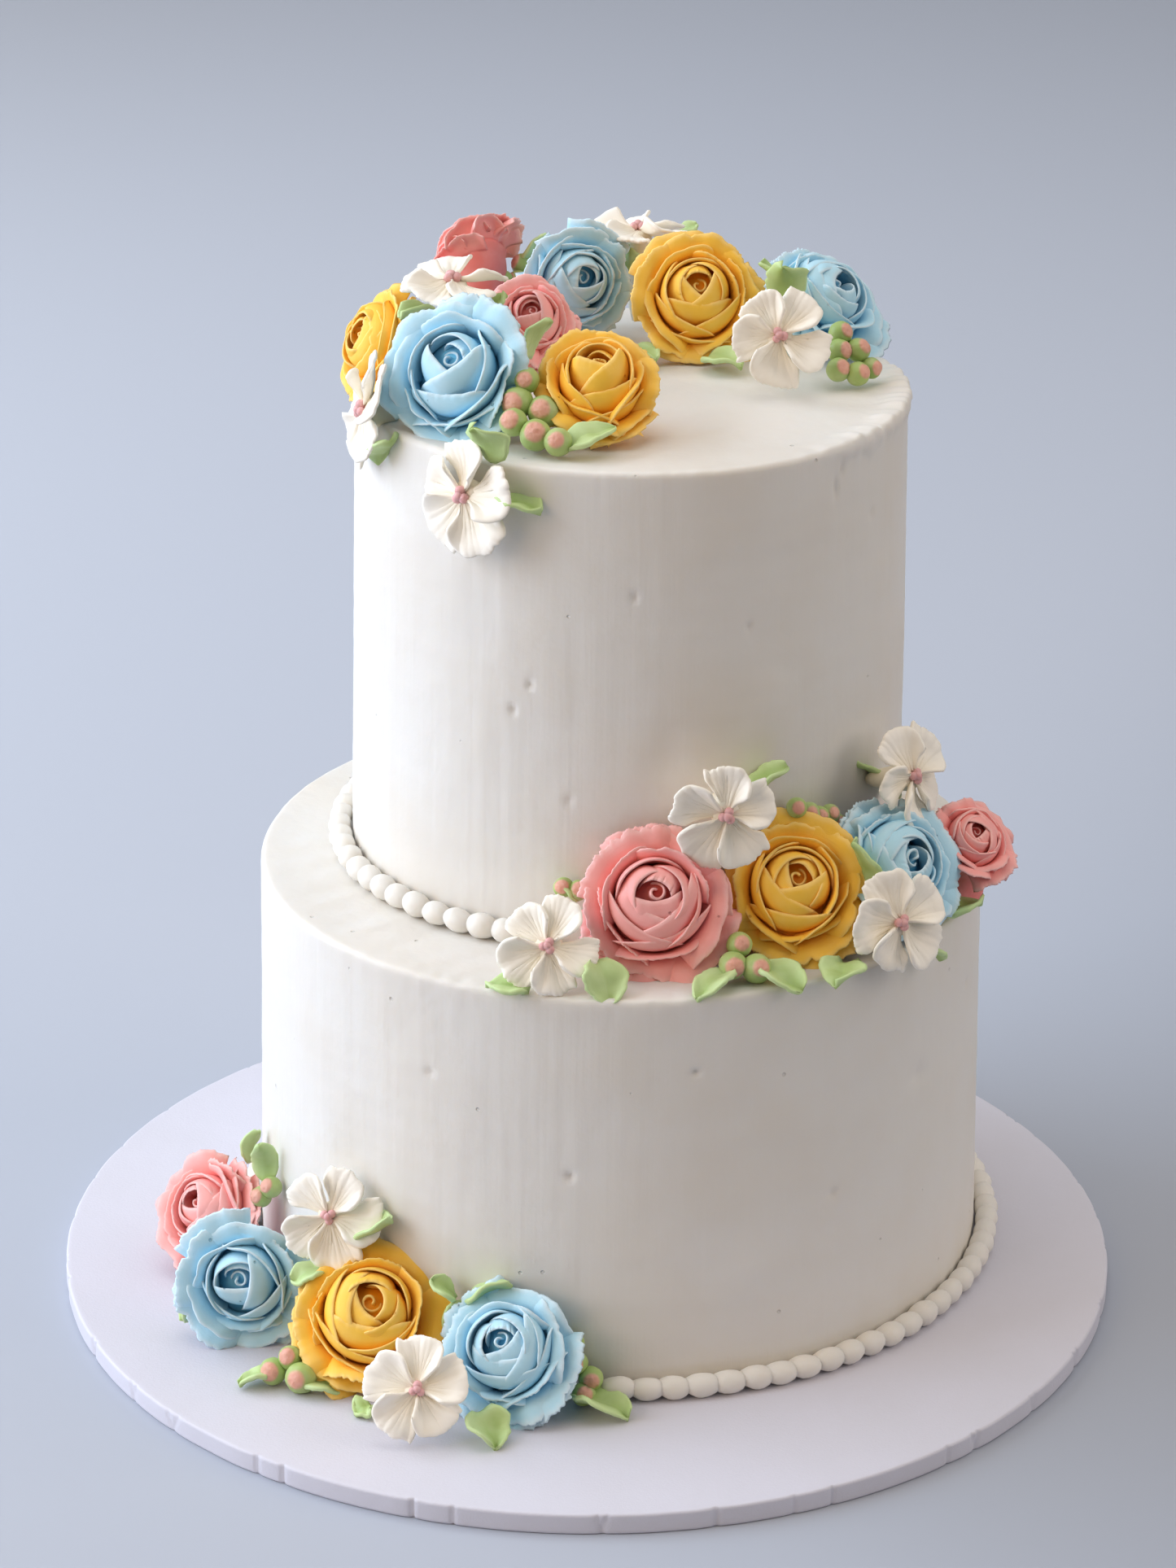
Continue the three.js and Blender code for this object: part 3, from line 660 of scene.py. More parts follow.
def piped_pearls():
    """The same buttercream, piped: smoother, with a slight grain, and painted warm shade in the gaps at
    each pearl's ends against the wall.
    """
    body = tuple(colours().icing)
    f = Finish("piped_pearls", Roughness=0.5, **BUTTERCREAM)
    tone = f.mix(f.noise(120, 2), body, towards(body, tint("#EBDFC9"), 0.3))
    # Painted shade: the rim layer marks each pearl's ends against the wall, and the tan there stands in
    # for shade in the gaps.
    f.give("Base Color", f.mix(f.read("rim") * 0.6, tone, tint("#DCC7A6")))
    f.give("Normal", f.relief(f.noise(700, 3), 0.00012, 0.5))
    return f.material


def petal_icing(colour):
    """Coloured buttercream petals: darker and saturated at the root as painted shade deep in the rose,
    pale and rough at the rim.
    """
    deep, pale, edge = PETAL_TINTS[colour]
    deep, pale = tint(deep), tint(pale)
    f = Finish(colour + "_petals", Specular_IOR_Level=0.3)
    rim = f.read("rim")
    along = f.read("along")
    # Painted shade: the colour darkens to the deep tint towards the petal's root.
    body = f.mix(f.step(rim, 0, 0.7), deep, tuple(getattr(colours(), colour)))
    mottle = f.noise(160, 4)
    body = f.mix(f.step(rim + mottle * 0.12, 0.90, 1.05) * edge, body, pale)
    body = f.mix(f.step(mottle, 0.35, 0.85) * 0.2, body, pale)
    shaded_pores = f.spots(230, 0.13, 0.10)
    # The pores are darkened in the colour: painted shade inside the pits.
    f.give("Base Color", f.mix(shaded_pores * 0.55, body, shaded(deep, 0.6)))
    streaks = f.noise(1, 3, f.add("ShaderNodeCombineXYZ", {}, {0: along * 1.6, 1: rim * 26}))
    torn = f.noise(520, 4, roughness=0.65) * f.step(rim, 0.75, 1.0)
    bumps = f.relief(streaks, 0.0002, 0.2)
    bumps = f.relief(torn, 0.0004, 0.5, bumps)
    bumps = f.relief(f.noise(1100, 2), 0.00008, 0.5, bumps)
    f.give("Normal", f.relief(1 - shaded_pores, 0.0005, 0.8, bumps))
    f.give("Roughness", 0.44 + f.noise(300, 2) * 0.16)
    return f.material


def blossom_icing():
    """Cream buttercream with painted warm shade in its hollows towards the heart, warm mottling, and a
    satin face.
    """
    body = tuple(colours().cream)
    f = Finish("blossom_icing", Roughness=0.46, Specular_IOR_Level=0.35)
    rim = f.read("rim")
    warm_shade_and_mottle = towards(body, tint("#EADAB4"), 0.4)
    # Painted shade: the cream turns warmer and darker towards the petals' roots in the heart's hollow.
    tone = f.mix(f.step(rim, 0.05, 0.8), warm_shade_and_mottle, body)
    f.give("Base Color", f.mix(f.step(f.noise(130, 3), 0.4, 0.8) * 0.4, tone, warm_shade_and_mottle))
    bumps = f.relief(f.noise(260, 3), 0.0004, 0.35)
    f.give("Normal", f.relief(f.noise(900, 2), 0.00008, 0.5, bumps))
    return f.material


def leaf_icing():
    """Green buttercream leaves: paler rims, painted shade darkening the crease down the middle, and
    lengthwise streaks.
    """
    body = tuple(colours().leaf)
    f = Finish("leaf_icing", Roughness=0.42, Specular_IOR_Level=0.4)
    rim = f.read("rim")
    along = f.read("along")
    edge = f.step(f.add("ShaderNodeMath", {"operation": "ABSOLUTE"}, {0: along}), 0.1, 1.0)
    # Painted shade: darker along the middle crease, paler out towards the rims.
    tone = f.mix(edge, shaded(body, 0.72), towards(body, WHITE, 0.16))
    tone = f.mix(f.step(f.noise(90, 3), 0.35, 0.75) * 0.5, tone, towards(body, WHITE, 0.3))
    f.give("Base Color", tone)
    streaks = f.noise(1, 2, f.add("ShaderNodeCombineXYZ", {}, {0: along * 9, 1: rim * 1.2}))
    bumps = f.relief(streaks, 0.0003, 0.25)
    f.give("Normal", f.relief(f.noise(800, 2), 0.00008, 0.5, bumps))
    return f.material


def berry_icing():
    """Sage green buttercream balls with a rough pink tip."""
    body = tuple(colours().berry)
    f = Finish(
        "berry_icing", Roughness=0.4, Specular_IOR_Level=0.4,
        Subsurface_Weight=0.3, Subsurface_Scale=0.003, Subsurface_Radius=(1.0, 0.9, 0.6))
    tip = f.step(f.read("rim") + f.noise(420, 3) * 0.2, 0.5, 1.1)
    green = f.mix(f.step(f.noise(150, 3), 0.35, 0.75), body, towards(body, tint("#C6CDA0"), 0.45))
    f.give("Base Color", f.mix(tip, green, tuple(colours().tip)))
    bumps = f.relief(f.noise(900, 4, roughness=0.6) * tip, 0.0006, 0.6)
    f.give("Normal", f.relief(f.noise(600, 2), 0.0001, 0.5, bumps))
    return f.material


def heart_icing():
    """The pink dots in the blossoms' hearts."""
    body = tuple(colours().heart)
    f = Finish(
        "heart_icing", Roughness=0.5,
        Subsurface_Weight=0.25, Subsurface_Scale=0.003, Subsurface_Radius=(1.0, 0.7, 0.6))
    f.give("Base Color", f.mix(f.noise(500, 3), shaded(body, 0.85), towards(body, WHITE, 0.2)))
    f.give("Normal", f.relief(f.noise(900, 3), 0.0003, 0.6))
    return f.material


def board_paper():
    """White glazed paper over card, with a fine tooth."""
    body = tuple(colours().paper)
    f = Finish("board_paper", Specular_IOR_Level=0.3)
    f.give("Base Color", f.mix(f.noise(40, 3), body, towards(body, tint("#DDDCEA"), 0.6)))
    f.give("Normal", f.relief(f.noise(1400, 3), 0.00012, 0.7))
    f.give("Roughness", 0.44 + f.noise(200, 2) * 0.14)
    return f.material


def stage_paint():
    """The plain pale floor, with painted light far off at the left and painted shade near at the right,
    where the lamps' light falls off.
    """
    f = Finish("stage_paint", Roughness=0.7, Specular_IOR_Level=0.2)
    tone = tuple(colours().floor)
    sockets = {0: f.place, 1: (0.8, -0.25, 0)}
    rightward = f.add("ShaderNodeVectorMath", {"operation": "DOT_PRODUCT"}, sockets, out="Value")
    # Painted shade: the floor darkens near the right.
    painted_shade_near_right = f.mix(f.step(rightward, 0.0, 0.4), tone, shaded(tone, 0.62))
    # Painted light: the floor lightens far off at the left.
    painted_light_far_left = f.step(rightward, -0.5, -1.8) * 0.35
    f.give("Base Color", f.mix(painted_light_far_left, painted_shade_near_right, towards(tone, WHITE, 0.6)))
    return f.material


# ------------------------ board and tiers


def arc(middle, radius, start, end, steps):
    """Points on an arc in an outline, its angles in degrees from outward to upward."""
    turns = [math.radians(start + (end - start) * i / steps) for i in range(steps + 1)]
    return [(middle[0] + radius * math.cos(t), middle[1] + radius * math.sin(t)) for t in turns]


def run(first, last, steps):
    """Evenly spaced points of an outline from first to last, without the last."""
    return [tuple(a + (b - a) * i / steps for a, b in zip(first, last)) for i in range(steps)]


BOARD_EDGE = 0.8
BOARD_STEPS = 1200
# How uneven the board's edge is, how far in from it anything moves, and the half widths in
# degrees of a crease, of the hollow that it lies in and of all that it touches.
EDGE_UNEVEN = 0.15
EDGE_WIDE = 4
CREASE_HALF = 0.2
HOLLOW_HALF = 1.2
CREASE_REACH = 4


def board_creases():
    """The creases round the board's edge: their angles, depths and how far they fork upwards."""
    rng = random.Random("board edge")
    count = round(2 * math.pi * BOARD_RADIUS / (sizes().crease_pitch / MM))
    creases = []
    for i in range(count):
        at = (i + rng.uniform(-0.4, 0.4)) * 360 / count
        creases.append((at, rng.uniform(0.3, 0.8), rng.choice((0, 0, 0.5, 0.9))))
    return creases


def make_board():
    """The round board: card wrapped in paper, with folds pressed flat round its edge."""
    bm = new_mesh()
    top = BOARD_HIGH.z
    inner = BOARD_RADIUS - BOARD_EDGE
    outline = run((0, 0), (inner, 0), 4)
    outline += arc((inner, BOARD_EDGE), BOARD_EDGE, -90, 0, 4)
    outline += run((BOARD_RADIUS, BOARD_EDGE + 0.3), (BOARD_RADIUS, top - BOARD_EDGE), 8)
    outline += arc((inner, top - BOARD_EDGE), BOARD_EDGE, 0, 90, 4)
    outline += run((inner - 1, top), (0, top), 8) + [(0, top)]
    verts = lathe(bm, outline, BOARD_STEPS)
    creases = board_creases()
    for vert in verts:
        reach, angle = around(vert.co)
        if reach < inner - EDGE_WIDE:
            continue
        angle %= 360
        edge = smooth(inner - 1.0, BOARD_RADIUS, reach)
        dip = EDGE_UNEVEN * (1 + wobble(angle / 4, 3.0))
        for at, deep, fork in creases:
            off = abs((angle - at + 180) % 360 - 180)
            if off < CREASE_REACH:
                half = fork * vert.co.z / top
                crease = deep * math.exp(-((off - half) / CREASE_HALF) ** 2)
                dip += crease + 0.3 * deep * math.exp(-(off / HOLLOW_HALF) ** 2)
        share = 1 - edge * dip / reach
        vert.co.x *= share
        vert.co.y *= share
    dressed(bm, "board_papered", board_paper(), "board_paper", "board")


# Rows of faces up a tier's wall and from the rim of its top to the middle.
WALL_ROWS = 106
TOP_ROWS = 44
# The height over which the wall's unevenness fades out at the foot.
FOOT_FADE = 3
# The torn rim: how far down it reaches, how low its flap hangs and how far that stands off the
# wall, and how wide the ridge is that it leaves on top.
TORN_DEEP = 9
FLAP_HANG = 3.5
FLAP_OUT = 0.9
RIDGE_WIDE = 9
# How much deeper a mark is than its table says, and how many of its half sizes it reaches.
MARK_DEPTH = 1.5
MARK_REACH = 3
# The strokes on a tier's top: their length, their width and how far from the rim they fade out.
STROKE_LONG = 30
STROKE_WIDE = 7
STROKE_FADE = 14


def spread(tier, angle, height, reach):
    """How uneven the icing of a tier's wall is at one place: slow waves, bands and strokes."""
    a = math.radians(angle)
    x, y = math.sin(a) * reach / 40, math.cos(a) * reach / 40
    slow = wobble(x * 1.3, y * 1.3, height / 55 + tier.top)
    bands = wobble(x * 0.5 + 7, y * 0.5, height / 4.5)
    strokes = wobble(x * 9, y * 9, height / 38 + 3)
    return 0.4 * slow + 0.1 * bands + 0.09 * strokes


def wall_relief(tier, lip, marks, angle, height, reach):
    """How far the icing stands out of a tier's wall at one place, with its torn rim and marks."""
    low = smooth(tier.floor, tier.floor + FOOT_FADE, height)
    torn = lip(angle) * smooth(tier.top - TORN_DEEP, tier.top - 1, height)
    out = low * spread(tier, angle, height, reach) + torn * (0.3 + 0.6 * wobble(angle / 2.2, 9))
    hang = tier.top - FLAP_HANG - 3 * wobble(angle / 6, 5)
    out += FLAP_OUT * max(0.0, lip(angle) - 0.3) * smooth(hang - 0.6, hang + 0.8, height)
    for at, up, wide, tall, deep in marks:
        off = math.radians(angle - at) * reach
        if abs(off) < MARK_REACH * wide and abs(height - up) < MARK_REACH * tall:
            out -= MARK_DEPTH * deep * math.exp(-(off / wide) ** 2 - ((height - up) / tall) ** 2)
    return out


def make_tier(node, tier, lip, marks):
    """One iced tier: scraped smooth, with an uneven rim, a swirled top and marks in its wall."""
    bm = new_mesh()
    edge = sizes().rim_round / MM
    rim = tier.foot - sizes().taper / MM
    bottom = run((0, tier.floor), (tier.foot - 1, tier.floor), 4)
    side = run((tier.foot, tier.floor), (rim, tier.top - edge), WALL_ROWS)
    corner = arc((rim - edge, tier.top - edge), edge, 0, 90, 5)
    top = run((rim - edge - 0.7, tier.top), (0, tier.top), TOP_ROWS)
    for vert in lathe(bm, bottom + side + corner + top + [(0, tier.top)], sizes().tier_steps):
        reach, angle = around(vert.co)
        height = vert.co.z
        if height > tier.floor + 0.01 and reach > rim - edge - 0.1:
            share = 1 + wall_relief(tier, lip, marks, angle, height, reach) / reach
            vert.co.x *= share
            vert.co.y *= share
        if height > tier.top - 0.6 * edge:
            along = 0.8 * vert.co.x + 0.6 * vert.co.y
            across = 0.8 * vert.co.y - 0.6 * vert.co.x
            swirl = wobble(along / STROKE_LONG, across / STROKE_WIDE, 4.0) * 0.5
            ridge = smooth(rim - RIDGE_WIDE, rim - 2, reach) * lip(angle)
            vert.co.z += (swirl - 0.2) * smooth(0, STROKE_FADE, rim - reach) - 0.05
            vert.co.z += ridge * (1.1 + 1.4 * wobble(angle / 3, 2.0))
    bmesh.ops.translate(bm, vec=(tier.x, tier.y, 0), verts=bm.verts)
    dressed(bm, node + "_iced", spread_icing(), "icing", node)


def upper_lip(angle):
    """How torn the upper tier's rim is: most at its right."""
    step = 0.8 * math.exp(-((angle - 63.5) / 1.3) ** 2)
    return 0.12 + (0.9 - step) * smooth(36, 52, angle) * (1 - smooth(96, 120, angle))


def lower_lip(angle):
    """The lower tier's rim is nearly clean."""
    return 0.12 + 0.25 * smooth(-60, -20, angle) * (1 - smooth(0, 40, angle))


# Marks in a tier's wall, each (angle, height, half width, half height, depth). One with a
# negative depth stands out.
UPPER_MARKS = (
    (45.2, 247.5, 0.8, 3.2, 0.8), (47, 252, 0.8, 2, 0.7), (-23.9, 190, 1, 1, 0.8),
    (-20.3, 198, 0.9, 0.9, 0.7), (0.6, 224.6, 0.9, 1.1, 0.6), (-12, 166, 1, 1.2, 0.5),
    (24, 214, 0.9, 1.6, 0.5), (58, 236, 1.2, 1, 0.6), (8, 180, 5, 9, 0.5), (30, 190, 6, 12, -0.5),
    (104, 205, 1, 1.2, 0.6), (150, 170, 1.2, 1, 0.6), (-160, 220, 1, 1.2, 0.6),
    (-115, 182, 1.2, 1.2, 0.6),
)
LOWER_MARKS = (
    (11, 102.3, 1.2, 1, 0.8), (-7.6, 71.5, 1.2, 1.2, 0.8), (52.5, 83, 4, 3, 0.6),
    (34, 58, 1.4, 1.2, 0.7), (-30, 96, 1.3, 1.1, 0.6), (20, 40, 7, 9, -0.5), (-46, 60, 8, 11, 0.5),
    (70, 98, 1.3, 1.2, 0.6), (130, 60, 1.4, 1.2, 0.7), (-140, 84, 1.3, 1.3, 0.6),
    (175, 101, 1.3, 1.2, 0.6),
)
# How far a pearl stands off the wall and sinks into its ground, how many degrees it may stray,
# and how much its tail is drawn in.
PEARL_GAP = 0.3
PEARL_STRAY = 0.25
PEARL_TAIL = 0.30
# The seed of the pearls' roughness, which would otherwise come from the clock.
PEARL_SEED = 5


def make_pearls(node, tier, start, end):
    """A border of pearls piped one after another, each drawn out into a tail."""
    bm = new_mesh()
    rims = bm.verts.layers.float["rim"]
    width = sizes().pearl / MM
    reach = tier.foot + PEARL_GAP + width / 2
    arc_length = math.radians(end - start) * reach
    count = round(arc_length / (sizes().pearl_pitch / MM))
    rng = random.Random(node)
    for i in range(count):
        at = start + (end - start) * (i + 0.5) / count + rng.uniform(-PEARL_STRAY, PEARL_STRAY)
        long = arc_length / count * rng.uniform(0.68, 0.78)
        wide = width / 2 * rng.uniform(0.93, 1.04)
        tall = width / 2 * rng.uniform(0.93, 1.03)
        made = bmesh.ops.create_uvsphere(bm, u_segments=14, v_segments=9, radius=1)["verts"]
        lean = rng.uniform(-0.16, 0.16)
        turn = Matrix((direction(at + 90, 0), direction(at, 0), UP)).transposed()
        middle = Vector((tier.x, tier.y, tier.floor - PEARL_GAP + tall)) + direction(at, 0) * reach
        for vert in made:
            x, y, z = vert.co
            tail = 1 - PEARL_TAIL * smooth(0.1, 1.0, -x)
            # The rim layer marks a pearl's ends on its wall side, where the finish paints shade.
            vert[rims] = smooth(0.45, 0.95, abs(x)) * smooth(0.3, -0.9, y)
            z = max(z, -0.93) + lean * x * (1 - abs(x))
            vert.co = middle + turn @ Vector((x * long, (y - 1 + tail) * wide, z * tall * tail))
    noise.seed_set(PEARL_SEED)
    for vert in bm.verts:
        vert.co += noise.noise_vector(vert.co / 3.4) * 0.16
    dressed(bm, node + "_piped", piped_pearls(), "icing", node)


# ------------------------ flowers


def rose_petal(petal, turn, tall, size, rng):
    """The middle surface of one rose petal, in the rose's own frame."""
    mark = rng.uniform(0, 50)
    centre = math.radians(petal.at + turn + rng.uniform(-6, 6))
    half_span = math.radians(petal.span) / 2 * rng.uniform(0.94, 1.06)
    outer = smooth(0.3, 1.0, petal.reach)
    reach = petal.reach + rng.uniform(-0.02 - 0.03 * outer, 0.02 + 0.06 * outer)
    rise = petal.rise * (tall if petal.rise > 0 else 1) + rng.uniform(-0.02, 0.02)
    depth = petal.depth * (0.5 + 0.5 * tall)
    root = rise - depth
    half_foot = math.asin(min(0.98, FOOT_SHARE * petal.bend * math.sin(half_span) / petal.stand))
    frill = rng.choice(FRILLS) * (0.35 + 0.65 * outer)
    curl = rng.choice(CURLS) * (0.25 + 0.75 * outer)
    tear, tear_depth = rng.uniform(-0.8, 0.8), rng.uniform(0, TEAR_DEPTH) * outer
    shift = HEART_SHIFT * max(0.0, 1 - petal.reach)

    def surface(u, v):
        # An inner petal is torn upwards at its rim, and an outer one outwards.
        v = min(1.0, max(0.0, v))
        near = smooth(0.74, 1.0, v)
        lobes = (0.010 + 0.070 * outer) * wobble(u * 2.2, mark)
        torn = frill * (0.022 * wobble(u * 7, mark, 5) + 0.018 * wobble(u * 23, mark, 9))
        torn -= tear_depth * math.exp(-((u - tear) / TEAR_HALF) ** 2)
        ends = 1 - 0.75 * min(1.0, abs(u)) ** 6
        top = rise + (petal.left if u < 0 else petal.right) * abs(u) ** 2.2 + lobes
        roll = curl * smooth(0.62, 1.0, v) ** 2
        climb = (top - root) * ends * (1 - (1 - v) ** PETAL_BOW)
        height = root + climb + torn * near * (1 - outer) - 0.6 * roll
        phi = centre + half_span * u
        theta = centre + half_foot * u
        bend = petal.bend + lobes * v
        share = v ** PETAL_BOW
        swell = petal.stand * (1 - share) + petal.belly * math.sin(math.pi * v) + roll
        swell += torn * near * outer
        swell += (0.012 + 0.03 * outer) * v * wobble(u * 1.6, v, mark)
        lean = (reach - petal.bend) * share
        x = math.cos(theta) * swell + math.cos(centre) * lean + math.cos(phi) * bend * share
        y = math.sin(theta) * swell + math.sin(centre) * lean + math.sin(phi) * bend * share + shift
        return Vector((x, y, height)) * size

    return surface, mark


def rolled_heart(size, turn, tall):
    """The middle surface of the rolled strip in a rose's heart."""

    def surface(u, v):
        angle = turn + math.radians(HEART_SPAN) / 2 * u
        distance = HEART_REACH + HEART_ROLL * u + 0.03 * (1 - v)
        top = HEART_RISE * tall - 0.07 * u * u - 0.05 * u + 0.05 * wobble(u * 2.2, turn)
        height = top - 0.3 * tall * (1 - v)
        x, y = distance * math.cos(angle), distance * math.sin(angle) + HEART_SHIFT
        return Vector((x, y, height)) * size

    return surface


def flower_foot(flower, depth, sink):
    """Where the icing under a flower sits down, in the flower's own frame."""
    back = Vector((0, 0, -depth))
    down = facing(*flower.look).inverted() @ Vector((0, 0, -max(0.0, flower.place[2]) * sink))
    return back + Vector((down.x, down.y, min(down.z, 0)))


def mound(bm, outline, foot, foot_from, shift=0.0):
    """Icing behind a flower: a lathe that leans over to the flower's foot as it goes back."""
    for vert in lathe(bm, outline, 36):
        vert.co.y += shift * smooth(foot_from, 0, vert.co.z)
        share = smooth(foot_from, foot.z, vert.co.z) if vert.co.z < foot_from else 0.0
        rough = 1 + 0.06 * noise.noise(vert.co / 5)
        x, y, z = vert.co
        vert.co = Vector((x * rough + foot.x * share, y * rough + foot.y * share, z))


def make_rose(name, rose, finishes):
    """One piped rose: a rolled heart and petals lapped round it, on a mound of icing."""
    bm = new_mesh()
    rng = random.Random(name)
    size = rose.radius
    foot = flower_foot(rose, size * 0.75, 0.6)
    waist = ROSE_WAIST * size
    outline = [
        (reach * size, rise * (rose.tall if rise > 0 else 1) * size) for reach, rise in ROSE_CORE]
    outline += run((WAIST_RADIUS * size, waist), (FOOT_RADIUS * size, foot.z), 7)
    outline += run((FOOT_RADIUS * size, foot.z), (0, foot.z), 4) + [(0, foot.z)]
    mound(bm, outline, foot, waist, HEART_SHIFT * size)
    heart = HEART_THICKNESS * size
    start = math.radians(rose.turn + rng.uniform(-150, -30))
    icing_sheet(bm, rolled_heart(size, start, rose.tall * rng.uniform(0.85, 1.1)), heart, heart, 88, 6)
    root, rim = sizes().petal_root / MM, sizes().petal_rim / MM
    for petal in ROSE_PLANS[rose.plan]:
        surface, mark = rose_petal(petal, rose.turn, rose.tall, size, rng)
        icing_sheet(bm, surface, root, rim, 44 + round(36 * petal.reach), 8, mark)
    bmesh.ops.transform(bm, matrix=place_of(name, rose), verts=bm.verts)
    if ground_of(name) == "board":
        lowest = BOARD_HIGH.z - 0.3
        for vert in bm.verts:
            vert.co.z = max(vert.co.z, lowest)
    colour = name.split("_")[2]
    dressed(bm, name + "_piped", finishes[colour], "petals_" + colour, name)


def blossom_petal(centre, size, rng):
    """The middle surface of one fan-shaped petal: one side rounded and raised, the other torn."""
    half_span = math.radians(BLOSSOM_HALF_SPAN) * rng.uniform(0.86, 1.08)
    mark = rng.uniform(0, 50)
    length = size * rng.uniform(0.90, 1.07)
    cup = rng.uniform(0.03, 0.12)
    tip = rng.uniform(0.70, 0.88)
    tip_length = rng.uniform(0.02, 0.10)
    droop = rng.uniform(-0.04, 0.08)

    def surface(u, v):
        v = min(1.0, max(0.0, v))
        ragged = smooth(-0.5, 0.6, u)
        edge = 1 - (0.46 * abs(u) ** 3.4 if u < 0 else 0.24 * u ** 6)
        edge += tip_length * math.exp(-((u - tip) / 0.10) ** 2) + 0.07 * wobble(u * 2.6, mark)
        edge += (0.3 + ragged) * (0.026 * wobble(u * 9, mark) + 0.016 * wobble(u * 22, mark))
        reach = length * (0.09 + (edge - 0.09) * v)
        angle = centre + half_span * (0.80 + 0.20 * v) * u
        height = 0.03 - 0.12 * u * (0.35 + 0.65 * v) + cup * u * u * v - 0.05 * math.sin(math.pi * v)
        height += 0.10 * smooth(-0.55, -1.0, u) * v + droop * v * v
        height += 0.032 * (1 - v) * wobble(u * 7, mark, 3) - 0.05 * smooth(0.8, 1.0, v)
        height += 0.09 * v * wobble(u * 1.5, v * 1.3, mark) + 0.02 * v * wobble(u * 6, v * 2, mark)
        return Vector((reach * math.cos(angle), reach * math.sin(angle), height * size))

    return surface, mark


def make_blossom(name, blossom, petals, hearts):
    """One five-petalled blossom, with a cluster of dots in its heart and icing behind."""
    bm = new_mesh()
    rng = random.Random(name)
    size = blossom.radius
    back = -blossom.stalk
    outline = [(0, 0.04 * size), (0.24 * size, 0.02 * size)]
    outline += run((0.28 * size, -0.10 * size), (0.16 * size, back + 1), 6)
    outline += [(0.10 * size, back), (0, back)]
    mound(bm, outline, Vector((0, 0, back)), -0.2 * size)
    thick = sizes().blossom_petal / MM
    for i in range(5):
        centre = math.radians(blossom.turn + 72 * i + rng.uniform(-7, 7))
        surface, mark = blossom_petal(centre, size, rng)
        icing_sheet(bm, surface, thick * 0.8, thick, 60, 12, mark)
    place = place_of(name, blossom)
    bmesh.ops.transform(bm, matrix=place, verts=bm.verts)
    dressed(bm, name + "_piped", petals, "blossom_cream", name)
    dots = new_mesh()
    turn = rng.uniform(0, 6)
    dot = HEART_DOT * size
    for i in range(4):
        on_top = i == 3
        reach = 0.0 if on_top else dot
        angle = turn + i * 2.1
        spot = Vector((reach * math.cos(angle), reach * math.sin(angle), 0.10 * size))
        spot.z += 0.04 * size if on_top else 0
        ball(dots, spot, dot * rng.uniform(0.9, 1.1), 4)
    bmesh.ops.transform(dots, matrix=place, verts=dots.verts)
    dressed(dots, name + "_heart", hearts, "petals_pink")


# ------------------------ berries and leaves


def squeezed(ground, balls):
    """Berries pressed together: each that stands off is pushed against the nearest before it."""
    placed = []
    for at, out, up, radius in balls:
        middle = point_on(ground, at, out, up)
        gaps = [
            ((spot - middle).length - BERRY_SQUEEZE * (other + radius), spot)
            for spot, other in placed]
        if gaps:
            gap, spot = min(gaps, key=lambda pair: pair[0])
            if gap > 0:
                middle += (spot - middle).normalized() * gap
        placed.append((middle, radius))
    return placed


def make_berries(name, sprig, berry, leaf):
    """A bunch of berries, each with a rough pink tip that looks outwards, and its leaves."""
    bm = new_mesh()
    rims = bm.verts.layers.float["rim"]
    rng = random.Random(name)
    for (at, *_), (middle, radius) in zip(sprig.balls, squeezed(ground_of(name), sprig.balls)):
        tip = direction(at * 0.55 + rng.uniform(-14, 14), 24 + rng.uniform(-12, 14))
        cap = rng.uniform(0.74, 0.86)
        for vert in ball(bm, middle, radius, 4):
            out = (vert.co - middle).normalized()
            vert[rims] = smooth(cap - 0.3, cap + 0.12, out.dot(tip))
            rough = 0.05 * noise.noise(vert.co / 2.2) + 0.035 * noise.noise(vert.co / 0.9) * vert[rims]
            pit = -0.10 * vert[rims] * smooth(0.25, 0.5, noise.noise(vert.co / 0.8 + middle))
            vert.co = middle + out * radius * (1 + rough + pit + 0.03 * vert[rims])
    dressed(bm, name + "_piped", berry, "berry_green", name)
    if sprig.blades:
        make_leaves(name + "_leaves", sprig.blades, leaf)


def leaf_blade(ground, blade, rng):
    """The middle surface of one leaf: creased along its middle, wavy, and drawn to a point."""
    at, out, up, head, rise, length, width = blade
    foot = point_on(ground, at, out, up)
    along = direction(head, rise)
    across = along.cross(UP).normalized()
    normal = across.cross(along)
    mark = rng.uniform(0, 50)
    twist = rng.uniform(-0.5, 0.5)

    def surface(u, v):
        outline = math.sin(math.pi * min(1.0, 0.05 + 0.95 * max(v, 0.0)) ** 0.85)
        ragged = 0.12 * wobble(v * 5, mark, u) + 0.12 * wobble(v * 13, mark, u * 2)
        half = 0.6 * width * max(0.0, outline) ** 0.65 * (1 + ragged)
        lift = 0.10 * length * math.sin(math.pi * v) + 0.20 * width * abs(u) ** 1.2
        lift += width * (0.12 * wobble(v * 3, u * 1.2, mark) + 0.10 * u * math.sin(5 * v + mark))
        lift += twist * half * u * v
        return foot + along * (length * v) + across * (half * u) + normal * (lift - 0.14 * width)

    return surface


def make_leaves(name, blades, finish, *nodes):
    """Leaves that make up one piece."""
    bm = new_mesh()
    rng = random.Random(name)
    thick = sizes().leaf / MM
    for blade in blades:
        surface = leaf_blade(ground_of(name), blade, rng)
        icing_sheet(bm, surface, thick * 1.5, thick * 0.8, 22, 14)
    dressed(bm, name, finish, "leaf_green", *nodes)


# ------------------------ stage

# The camera: where it stands, how far it looks down and rolls, and its lens on its sensor.
CAMERA_PLACE = (-0.637 * MM, -1099.65 * MM, 612.37 * MM)
CAMERA_DOWN = 22.84
CAMERA_ROLL = 0.41
CAMERA_LENS = 97.44
SENSOR = 36.0
